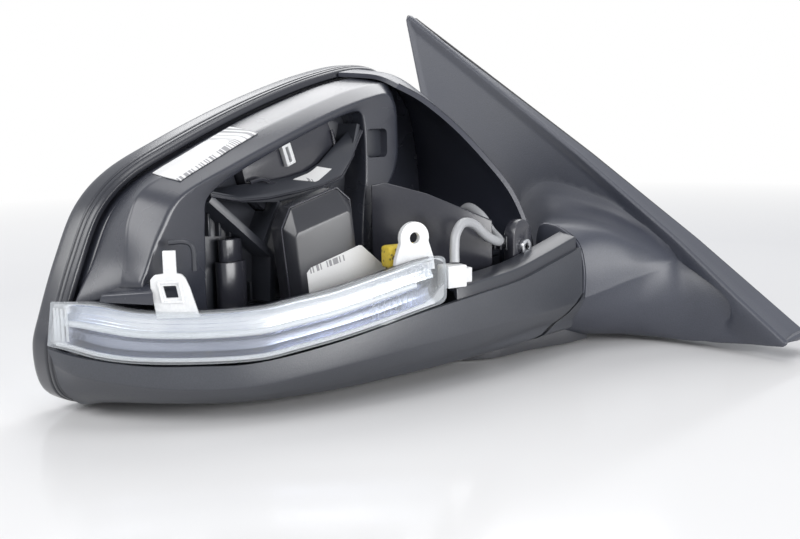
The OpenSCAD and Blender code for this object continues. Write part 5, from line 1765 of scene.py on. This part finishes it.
# ---- head: lamp ----
@dataclass
class SideLamp:
    """Curved lamp: clear lens, plated bowl with light guide, white body with its tab and ear."""

    shop: Workshop
    row: RepeatedRow
    top: tuple = (
        (-279.5, 27, -1), (-277, 17, -0.5), (-272, 7, -1), (-263, -4, -3.5), (-248, -18, -4.5),
        (-230, -31, -4), (-217, -38, -2), (-203, -44, 0), (-186, -49, 3.5), (-169, -54, 7),
        (-156, -56.5, 8.5),
    )
    bottom: tuple = (
        (-281.5, 28, -17.5), (-279, 20, -18.5), (-273.5, 8, -21), (-264, -3, -23), (-248, -18, -24),
        (-231, -30.5, -24), (-218, -37.5, -22), (-203, -44, -19.5), (-187, -49.5, -16.5), (-169, -54.5, -13),
        (-156, -57, -11),
    )
    steps: int = 14
    middle_shift: tuple = (-0.5, -1, 0)
    fluted: tuple = (
        (0.08, 3.0), (0.12, 4.6), (0.2, 5.6), (0.27, 5.9), (0.275, 5.4), (0.33, 5.5), (0.335, 5.0),
        (0.38, 5.0), (0.385, 4.5), (0.43, 4.4), (0.445, 4.9),
    )
    deep: tuple = ((0.5, 5.2), (0.56, 6.4), (0.64, 7.3), (0.74, 7.6), (0.83, 7.0), (0.89, 5.4), (0.92, 3.2))
    bowl_wall: float = 0.8
    bowl_ends: tuple = (4, -5)
    body_depth: float = 11.0
    tab_outline: tuple = (
        (-6.2, -7), (9.0, -7), (5.8, 4), (4.4, 7.4), (3.2, 8.8), (1.4, 9.2), (1.4, 17.4), (-3.2, 17.4),
        (-3.2, 9.2), (-6.4, 8.8), (-7.9, 7.2), (-7.9, 4),
    )
    tab_hole: tuple = ((-2.6, 0.4), (1.8, 0.4), (1.0, 4.8), (-3.6, 4.8))
    tab_rib: tuple = ((-3.9, -1.0), (3.4, -1.0), (2.2, 6.2), (-5.1, 6.2))
    on_tab: Place = upright(-252.3, -9.7, -43)
    on_ear: Place = upright(-163, -46, -20)
    ear_height: float = 15
    ear_radius: float = 6.4
    ear_hole: float = 2.3

    def __post_init__(self) -> None:
        """Works out the fine edge lines and the middle line."""
        a, b = np.asarray(self.top, float), np.asarray(self.bottom, float)
        middle = (a + b) / 2 + np.array(self.middle_shift)
        self.lines = [open_curve(p, self.steps) for p in (a, middle, b)]

    def line(self, v: float) -> Rows:
        """Line along the lamp at share v from top to bottom."""
        p, q, r = self.lines
        return cubic_span(p, p, q, r, 2 * v) if v < 0.5 else cubic_span(p, q, r, r, 2 * v - 1)

    def band(
        self, profile: Sequence[tuple[float, float]], first: int = 0, last: int | None = None,
        ends: float = 0.0,
    ) -> Rows:
        """Rows along the lamp.

        Args:
            profile: (share from top to bottom, depth behind the lens face) for each row.
            first, last: range of columns.
            ends: share by which rows close in at the inboard end.
        Returns:
            An array (rows, columns, 3).
        """
        rows = []
        for v, depth in profile:
            lo, hi = max(v - 0.01, 0), min(v + 0.01, 1)
            down = (self.line(hi) - self.line(lo)) / (hi - lo)
            normal = unit(np.cross(down, np.gradient(self.line(v), axis=0)))
            rows.append(self.line(v) - depth * normal)
        grid = np.stack(rows)[:, first:last]
        if ends > 0:
            n = grid.shape[1]
            s = np.clip((np.arange(n) - (n - 6)) / 5, 0, 1)[None, :, None] ** 2 * ends
            grid = grid * (1 - s) + grid.mean(0, keepdims=True) * s
        return grid

    def lens(self) -> None:
        """Clear lens with turned-back upper and lower edges."""
        shares = np.linspace(0.14, 0.86, 13)
        profile = [(0.0, 6.5), (0.0, 1.2), (0.012, 0.5), (0.04, 0.1), (0.08, 0.0)]
        profile += [(v, 0.0) for v in shares]
        profile += [(0.92, 0.0), (0.96, 0.1), (0.988, 0.5), (1.0, 1.2)]
        profile += [(1.0, 4.0), (0.955, 4.0), (0.95, 2.2), (0.92, 1.9)]
        profile += [(v, 1.8) for v in np.linspace(0.86, 0.14, 13)]
        profile += [(0.08, 1.9), (0.06, 2.2), (0.05, 6.5)]
        rows = self.band(profile, ends=0.16)
        lens = Shape().loft(np.transpose(rows, (1, 0, 2)), around=True, caps=True)
        self.shop.piece("lamp_clear_lens", lens, "lens", "head", ("lamp_lens",), angle=50)

    def bowl(self) -> None:
        """Plated bowl: fluted upper half, deep lower half."""
        halves = (
            ("lamp_fluted_band", self.fluted, "chrome", ("lamp_reflector",)),
            # The deep lower half gets the darkened chrome, a painted dark reflection.
            ("lamp_mirror_bowl", self.deep, "chrome_painted_dark_reflection", ()),
        )
        for name, profile, finish, nodes in halves:
            inner = self.band(profile, *self.bowl_ends)
            outer = self.band([(v, d + self.bowl_wall) for v, d in profile], *self.bowl_ends)
            self.shop.piece(name, Shape().between(inner, outer), finish, "head", nodes, angle=30)
        guides = (
            ("light_guide", (0.47, 3.9), (6, -14), 1.15, 12),
            ("lower_guide", (0.925, 2.7), (5, -6), 0.85, 8),
        )
        for name, place, columns, radius, sides in guides:
            line = self.band([place], *columns)[0]
            self.shop.piece(name, Shape().tube(line, radius, sides), "white", "head")

    def prisms(self) -> None:
        """Upright prisms at the inboard end and ribs on the outboard flange."""
        guide = self.band([(0.5, 3.6)])[0]
        n = len(guide)
        rows = (
            ("lamp_prisms", 3.6, range(n - 30, n - 6, 2), (1.1, 1.1, 14.5), "lens"),
            ("flange_ribs", 2.6, (1, 4, 7, 10), (0.9, 0.9, 12.0), "white"),
        )
        for name, depth, picks, size, finish in rows:
            line = self.band([(0.5, depth)])[0]
            ways = [guide[min(i + 1, n - 1)] - guide[i - 1] for i in picks]
            turns = [(0, 0, math.atan2(d[1], d[0]) + math.radians(45)) for d in ways]
            self.row.make(
                self.shop, name, np.array([line[i] for i in picks]), np.array(turns), size, finish, "head",
            )

    def body(self) -> None:
        """Lamp body behind the lens, and its white mounting tab."""
        deep = self.body_depth
        rim = [(0.0, 7.0), (0.0, deep), (0.5, deep + 0.6), (1.0, deep), (1.0, 4.6), (0.95, 4.6)]
        rim += [(0.95, deep - 1.6), (0.5, deep - 1.0), (0.06, deep - 1.6), (0.06, 7.0)]
        rows = self.band(rim, 1, -1)
        tray = Shape().loft(np.transpose(rows, (1, 0, 2)), around=True, caps=True)
        self.shop.piece("lamp_tray", tray, "inner", "head", ("lamp_housing",), angle=30)
        made = self.shop.raw("lamp_tab", Shape().prism(self.tab_outline, self.on_tab, -1, 1))
        self.shop.cut(made, [self.shop.raw("tool_hole", Shape().prism(self.tab_hole, self.on_tab, -4, 4))])
        self.shop.soften(made, 0.35, 3)
        self.shop.dress(made, "white", "head")
        corners = [self.on_tab(u, v, -1.3) for u, v in (*self.tab_rib, self.tab_rib[0])]
        self.shop.piece("tab_frame", Shape().rods(corners, 0.55), "white", "head")

    def ear(self) -> None:
        """Screw ear at the inboard end of the lamp body."""
        r, z = self.ear_radius, self.ear_height
        arc = [(r * math.cos(a), z + r * math.sin(a)) for a in np.linspace(-0.25, math.pi + 0.25, 17)]
        ear = self.shop.raw(
            "lamp_ear", Shape().prism([(-9, 2), (9, 2), (8.4, 7), *arc, (-8.4, 7)], self.on_ear, -1.2, 1.2),
        )
        ring = circle(0, z, self.ear_hole, 24)
        self.shop.cut(ear, [self.shop.raw("tool_ear", Shape().prism(ring, self.on_ear, -4, 4))])
        self.shop.soften(ear, 0.45, 3)
        self.shop.dress(ear, "white", "head")

    def build(self) -> None:
        """Makes the lamp."""
        self.lens()
        self.bowl()
        self.prisms()
        self.body()
        self.ear()


# ---- head: glass, mechanism, leads ----
@dataclass
class MirrorGlass:
    """Mirror glass with a ground edge, on its holder."""

    shop: Workshop
    shells: HeadShells
    face: float = 46.05
    thickness: float = 2.0
    opening: float = 14
    play: float = 1.4
    bevel: tuple = (0.5, 0.4)

    def build(self) -> None:
        """Makes the glass."""
        points = np.array([(x, RIM_Y, z) for x, z in self.shells.rim_points])
        curve = drawn_in(closed_curve(drawn_in(points, self.opening), 10), self.play)
        y0, y1 = self.face, self.face + self.thickness
        inset, depth = self.bevel
        ground = drawn_in(curve, inset)
        rows = [
            at_depth(ground, y0), at_depth(curve, y0 + depth), at_depth(curve, y1 - depth),
            at_depth(ground, y1),
        ]
        pane = Shape().loft(np.stack(rows), around=True, caps=True)
        self.shop.piece("ground_glass", pane, "glass", "glass", ("mirror_glass",), angle=25)


@dataclass
class InnerWorks:
    """Everything seen through the window and at the pivot, beyond the carried-over solids."""

    shop: Workshop
    row: RepeatedRow
    lead_route: tuple = (
        (-92, -14, 12.6), (-92.5, -15, 17), (-94.5, -21, 20), (-98.5, -31, 17), (-103.5, -40, 11.5),
        (-108, -47.6, 8.5), (-114, -50.8, 8.6), (-122, -51, 12), (-130, -50.6, 17.5), (-137, -50.4, 18.5),
        (-142, -50.8, 14.5), (-144, -51.6, 9), (-145, -52.4, 3.4),
    )
    lead_radius: float = 2.0
    shelf_front: tuple = (
        (-225.5, 34.4), (-211.1, 31.3), (-196.7, 31.0), (-179.2, 32.5), (-166.5, 34.1), (-155.1, 37.5),
        (-149.3, 43.8), (-141.4, 56.0),
    )
    shelf_rear: tuple = (
        (-221.2, 35.3), (-209.9, 36.3), (-194.3, 36.6), (-180.1, 37.9), (-169.8, 39.7), (-162.7, 42.7),
        (-154.1, 49.1), (-138.8, 58.9),
    )
    shelf_depths: tuple = (1.2, 7.2)
    shelf_wall: float = 0.9
    shelf_label: tuple = ((3.05, 0.73), (3.80, 0.23), (5.00, 0.45), (4.65, 0.90))
    paper_parts: int = 7
    paper_offsets: tuple = (-1.25, -0.95)
    column_steps: tuple = ((7.0, -12, 7.0), (5.4, 7.0, 16.0))
    lobe: tuple = (-178, 47, 26.0)
    module_seat: tuple = (-201.2, -19.0, 18.3)
    module_middle: tuple = (2.2, 23.8)
    module_widening: float = 1.18
    module_turn: float = -14
    module_roll: float = 17
    module_lean: float = 6
    module_back: tuple = ((0, -14), (27, -14), (27, 26.5), (22.5, 33), (4, 33), (0, 26.5))
    module_face: tuple = ((2.2, -14), (24.8, -14), (24.8, 22.4), (23.6, 23.8), (3.2, 23.8), (2.2, 22.4))
    module_seam: tuple = ((-0.3, -14), (-0.3, 26.7), (3.8, 33.3), (22.7, 33.3), (27.3, 26.7), (27.3, -14))
    module_board: tuple = ((2.5, -13), (24.5, -13), (24.5, 21), (2.5, 21))
    module_skirt: tuple = ((25.5, -14), (36, -14), (36, -5), (27.4, 7.6), (25.5, 7.6))
    module_paper: tuple = (
        (4.6, -14), (36, -14), (36, -4.6), (27.2, 8.3), (26.2, 8.8), (6.2, 8.8), (4.6, 7.4),
    )

    def leads(self) -> None:
        """Lead loop from the pivot tube to the lamp plug."""
        loop = Shape().tube(open_curve(self.lead_route, 8), self.lead_radius, 16)
        self.shop.piece("lead_sleeve", loop, "grey_lead", "head", ("lead_loop",))

    def window_rods(self) -> None:
        """Column, bead and hook seen through the window."""
        column = Shape()
        for radius, low, high in self.column_steps:
            column.prism(circle(-211, 8.6, radius, 32, 0.6), level, low, high)
        self.shop.piece("window_column", column, "inner_gloss", "head", edge=0.5)
        x, z, r = self.lobe
        arc = [(x + r * math.cos(t), 7.6, z + r * math.sin(t)) for t in np.radians(np.linspace(-100, 22, 25))]
        self.shop.piece("lobe_bead", Shape().tube(np.array(arc), 0.7, 8), "inner_gloss", "head")
        hook = open_curve(((-202, 5.6, 37.5), (-196, 5.2, 38.4), (-190, 5.6, 36.4), (-184, 6.4, 35.2)), 6)
        self.shop.piece("lever_hook", Shape().tube(hook, 0.8, 8), "inner_gloss", "head")

    def shelf_edges(self) -> list[Rows]:
        """Front and rear edge of the frame's broad upper face."""
        edges = zip((self.shelf_front, self.shelf_rear), self.shelf_depths)
        return [np.array([(x, y, z) for x, z in edge]) for edge, y in edges]

    def frame_paper(self) -> Rows:
        """Grid of the paper label that lies on the shelf.

        Returns:
            An array (rows, columns, 3).
        """
        front, rear = self.shelf_edges()
        corners = np.array(self.shelf_label)
        shares = np.linspace(0, 1, self.paper_parts)
        paper = []
        for s in shares:
            line = []
            for t in shares:
                near, far = (corners[n] * (1 - t) + corners[m] * t for n, m in ((0, 1), (3, 2)))
                i, f = near * (1 - s) + far * s
                k = min(int(i), len(front) - 2)
                low, high = (edge[k] * (k + 1 - i) + edge[k + 1] * (i - k) for edge in (front, rear))
                line.append(low * (1 - f) + high * f)
            paper.append(line)
        return np.array(paper)

    def window_details(self) -> None:
        """Shelf with its lip and label, and the ribs below it."""
        front, rear = self.shelf_edges()
        rows = np.stack([front * (1 - f) + rear * f for f in np.linspace(0, 1, 5)])
        shelf = Shape().between(rows, shifted(rows, -self.shelf_wall))
        self.shop.piece("frame_shelf", shelf, "inner", "head", edge=0.25)
        self.shop.piece("shelf_lip", Shape().tube(front, 0.55, 8), "inner_gloss", "head")
        sheet = self.frame_paper()
        paper = Shape().between(*(shifted(sheet, d) for d in self.paper_offsets))
        self.shop.piece("frame_paper", paper, "frame_label", "head", ("frame_label",))
        spots = np.array([(-224.5 + 5.2 * k, 11.6, 22.5 - 0.6 * k) for k in range(4)])
        self.row.make(
            self.shop, "frame_ribs", spots, np.zeros((4, 3)), (1.1, 2.4, 9.0), "inner", "head", edge=0.2,
        )
        spots = np.array([(-205.0 + 6.0 * k, 11.8, -7.5) for k in range(9)])
        self.row.make(
            self.shop, "lower_ribs", spots, np.zeros((9, 3)), (1.0, 2.0, 8.0), "inner", "head", edge=0.2,
        )

    def module_frame(self) -> Place:
        """Frame of the control module, turned, rolled and leaning a little in its seat.

        Returns:
            A function from the module's own u, v and w to a point.
        """
        turn, roll, lean = (math.radians(a) for a in (self.module_turn, self.module_roll, self.module_lean))
        seat, (mid_u, mid_v) = np.array(self.module_seat), self.module_middle
        across = np.array((math.cos(turn), math.sin(turn), 0.0))
        out = np.array((math.sin(turn), -math.cos(turn), 0.0))
        up = np.array((0.0, 0.0, 1.0))
        u_way = across * math.cos(roll) + up * math.sin(roll)
        v_way = up * math.cos(lean) - across * math.sin(lean)

        def place(u: float, v: float, w: float) -> Point:
            """Point in the module's own frame."""
            return tuple(seat + self.module_widening * (u - mid_u) * u_way + (v - mid_v) * v_way + w * out)

        return place

    def control_module(self) -> None:
        """Bevelled control module with its circuit board, seam, skirt and label."""
        place = self.module_frame()
        rings = ((self.module_back, -15.0), (self.module_back, -5.0), (self.module_face, 0.0))
        rows = [[place(u, v, w) for u, v in ring] for ring, w in rings]
        made = self.shop.raw("module_body", Shape().loft(np.array(rows), around=True, caps=True))
        self.shop.soften(made, 0.55, 3, 20)
        self.shop.dress(made, "module", "head", ("module_case", "module_lid"), angle=50)
        board = Shape().prism(self.module_board, place, -12.0, -10.4)
        self.shop.piece("module_circuit", board, "board", "head", ("module_board",))
        seam = Shape().rods([place(u, v, -5.4) for u, v in self.module_seam], 0.45)
        self.shop.piece("module_seam", seam, "inner_gloss", "head")
        skirt = Shape().prism(self.module_skirt, place, -8.0, -0.3)
        self.shop.piece("module_skirt", skirt, "module", "head", edge=0.4)
        paper = Shape().prism(self.module_paper, place, 0.05, 0.35)
        self.shop.piece("module_paper", paper, "module_label", "head", ("module_label",))

    def outboard_wedge(self) -> None:
        """Wedge-shaped rest in the lower outboard corner, and the catch behind the tab."""
        wedge = Shape().add(
            [(-271.5, 8.5, -0.6), (-259.5, -7.6, -1.6), (-259.5, -7.6, 3.4), (-270.8, 8.0, 2.2),
             (-262, 9.5, -0.6), (-254.5, 1.0, -1.6), (-255.5, 1.5, 6.6), (-262.5, 9.5, 3.8)],
            [(0, 1, 2, 3), (4, 7, 6, 5), (0, 4, 5, 1), (1, 5, 6, 2), (2, 6, 7, 3), (3, 7, 4, 0)],
        )
        self.shop.piece("corner_rest", wedge, "carrier", "head", edge=0.6)
        catch = ((-250, -5.0, 19.5), (-245.5, -8.8, 19.6), (-243.5, -10.4, 17.0), (-243.3, -10.4, 9.0))
        self.shop.piece("tab_catch", Shape().tube(open_curve(catch, 5), 0.9, 8), "inner", "head")

    def pivot_details(self) -> None:
        """Post at the pivot, with its rings."""
        post = Shape().tube(np.array(((-103, -39, 6.0), (-100, -44, 6.0), (-97.4, -48.2, 6.0))), 2.4, 14)
        self.shop.piece("bracket_post", post, "inner_gloss", "head", edge=0.2)
        spots = np.array([(-103 + 1.3 * k, -39 - 2.15 * k, 6.0) for k in range(4)])
        turns = np.array([(0, 0, math.radians(-59))] * 4)
        self.row.make(self.shop, "post_rings", spots, turns, (0.7, 6.2, 6.2), "inner", "head", edge=0.5)

    def build(self) -> None:
        """Makes the inner pieces."""
        self.leads()
        self.window_rods()
        self.window_details()
        self.control_module()
        self.outboard_wedge()
        self.pivot_details()


class CarriedOver:
    """CAD nodes that keep their shape, with their finish and the rounding of their edges in millimetres."""

    TABLE: dict[str, tuple[str, float]] = {
        "foot_base": ("foot", 0.5), "door_gasket": ("rubber", 0.4), "cable_grommet": ("rubber", 0.4),
        "pivot_tube": ("steel", 0.25), "detent_ring": ("dark_steel", 0.3), "fold_gear": ("nylon", 0.2),
        "fold_spring": ("steel", 0), "spring_retainer": ("dark_steel", 0.3),
        "snap_ring": ("dark_steel", 0.2), "cover_screws": ("steel", 0), "foot_harness": ("rubber", 0),
        "head_frame": ("inner", 0.4), "inner_panel": ("inner_gloss", 0.5),
        "pivot_bracket": ("inner_gloss", 0.9), "frame_screws": ("steel", 0.15),
        "thrust_ring": ("nylon", 0.2), "drive_case": ("inner", 0.5), "drive_cover": ("inner", 0.4),
        "fold_motor": ("steel", 0.3), "fold_worm": ("brass", 0), "lamp_board": ("board", 0),
        "lamp_leds": ("led", 0.15), "lamp_plug": ("white", 0.4), "lead_tape": ("tape", 1.4),
        "adjuster_case": ("inner_gloss", 0.6), "adjuster_cover": ("inner", 0.4),
        "adjuster_plug": ("white", 0.3), "adjuster_motors": ("steel", 0.3), "pan_nut": ("nylon", 0.2),
        "tilt_nut": ("nylon", 0.2), "pan_rod": ("nylon", 0), "tilt_rod": ("nylon", 0),
        "gimbal_ring": ("inner", 0.3), "glass_holder": ("inner", 0.3), "heater_pad": ("copper_pad", 0),
        "heater_terminals": ("steel", 0.1),
    }

    def build(self, shop: Workshop) -> None:
        """Dresses them."""
        for node, (finish, edge) in self.TABLE.items():
            shop.from_node(node, finish, edge)


# ---- stage ----
@dataclass
class Stage:
    """Floor, soft light and camera."""

    floor_z: float = -47.3
    eye: tuple = (-470.8, -311.4, 67.5)
    azimuth: float = 48.453
    drop: float = 9.106
    roll: float = -0.961
    lens: float = 46.6
    floor_reach: float = 8.0
    floor_fade: tuple = (0.34, 0.95)
    lamps: tuple = (
        ("overhead_rear", (0.5, 0.62, 0.85), (-0.12, 0.0, 0.02), (1.0, 0.8), 7.2),
        ("outboard_high", (-1.15, -0.1, 0.78), (-0.2, 0.0, 0.0), (0.9, 0.6), 6.9),
        ("outboard_rear", (-0.95, 0.78, 0.5), (-0.1, 0.05, 0.03), (0.7, 0.4), 2.8),
        ("front", (-0.16, -1.25, 0.24), (-0.16, 0.0, 0.0), (1.0, 0.5), 11.0),
        ("overhead", (-0.1, -0.05, 1.1), (-0.1, 0.0, 0.0), (0.6, 0.6), 2.5),
    )

    def floor(self) -> None:
        """Plain pale floor with a soft gloss."""
        material, book = new_material("pale_floor")
        spot = place_of(book)
        cloud = book.noise(spot, 3.0, 2.0)
        rough = 0.1 + cloud * 0.06
        colour = book.blend(cloud * 0.4, (0.915, 0.914, 0.92), (0.935, 0.934, 0.938))
        near = book.add("BsdfPrincipled", None, Base_Color=colour, Roughness=rough, IOR=1.25)
        far = book.add("Emission", None, Color=WHITE, Strength=1.0)
        away = book.value("VectorMath", "Value", {"operation": "LENGTH"}, Vector=spot).ramp(*self.floor_fade)
        book.add("OutputMaterial", None, Surface=book.layered(away, near, far))
        mesh = bpy.data.meshes.new("floor")
        size, z = self.floor_reach, self.floor_z * MM
        mesh.from_pydata(
            [(-size, -size, z), (size, -size, z), (size, size, z), (-size, size, z)], [], [(0, 1, 2, 3)],
        )
        mesh.materials.append(material)
        in_scene("floor", mesh)

    def world(self) -> None:
        """White surroundings for the eye and for gloss, softer as light."""
        world = bpy.data.worlds.new("white_room")
        bpy.context.scene.world = world
        world.use_nodes = True
        book = Book(world.node_tree)
        path = book.add("LightPath")
        gloss = Wire(book, path.outputs["Is Glossy Ray"])
        seen = Wire(book, path.outputs["Is Camera Ray"]) + Wire(book, path.outputs["Is Transmission Ray"])
        light = book.add("Background", None, Color=(0.93, 0.95, 1.0), Strength=0.19 + gloss * 0.5)
        white = book.add("Background", None, Color=WHITE, Strength=1.0)
        book.add("OutputWorld", None, Surface=book.layered(seen, light, white))

    def lamp(
        self, name: str, place: Sequence[float], target: Sequence[float], size: Sequence[float], power: float,
    ) -> None:
        """One soft rectangular lamp.

        Args:
            name: name of the lamp.
            place: where it hangs, in metres.
            target: the point it looks at.
            size: width and height in metres.
            power: in watts.
        """
        data = bpy.data.lights.new(name, "AREA")
        data.shape, data.size, data.size_y, data.energy = "RECTANGLE", size[0], size[1], power
        lamp = in_scene(name, data)
        lamp.location = place
        lamp.rotation_euler = (Vector(target) - Vector(place)).to_track_quat("-Z", "Y").to_euler()

    def camera(self) -> None:
        """Camera at the low front-outboard side."""
        a, e, r = math.radians(self.azimuth), math.radians(self.drop), math.radians(self.roll)
        ahead = Vector((math.sin(a) * math.cos(e), math.cos(a) * math.cos(e), -math.sin(e)))
        right = Vector((math.cos(a), -math.sin(a), 0))
        up = right.cross(ahead)
        right, up = right * math.cos(r) + up * math.sin(r), up * math.cos(r) - right * math.sin(r)
        data = bpy.data.cameras.new("camera")
        data.lens, data.sensor_width, data.clip_start, data.clip_end = self.lens, 36.0, 0.01, 50.0
        camera = in_scene("camera", data)
        turn = Matrix((right, up, -ahead)).transposed().to_4x4()
        camera.matrix_world = Matrix.Translation(Vector(self.eye) * MM) @ turn
        bpy.context.scene.camera = camera

    def build(self) -> None:
        """Makes the stage."""
        self.floor()
        self.world()
        for name, place, target, size, power in self.lamps:
            self.lamp(name, place, target, size, power)
        self.camera()
        bpy.context.scene.view_settings.view_transform = "Standard"


def main() -> None:
    """Builds the mirror in order."""
    logging.basicConfig(level=logging.INFO, format="%(name)s %(message)s")
    Stage().build()
    shop = Workshop(Finishes())
    row = RepeatedRow("row_of_blocks")
    shells = HeadShells(shop)
    CarriedOver().build(shop)
    SailAndArm().build(shop, shells.skin)
    shells.build()
    SideLamp(shop, row).build()
    MirrorGlass(shop, shells).build()
    InnerWorks(shop, row).build()


if __name__ == "__main__":
    main()
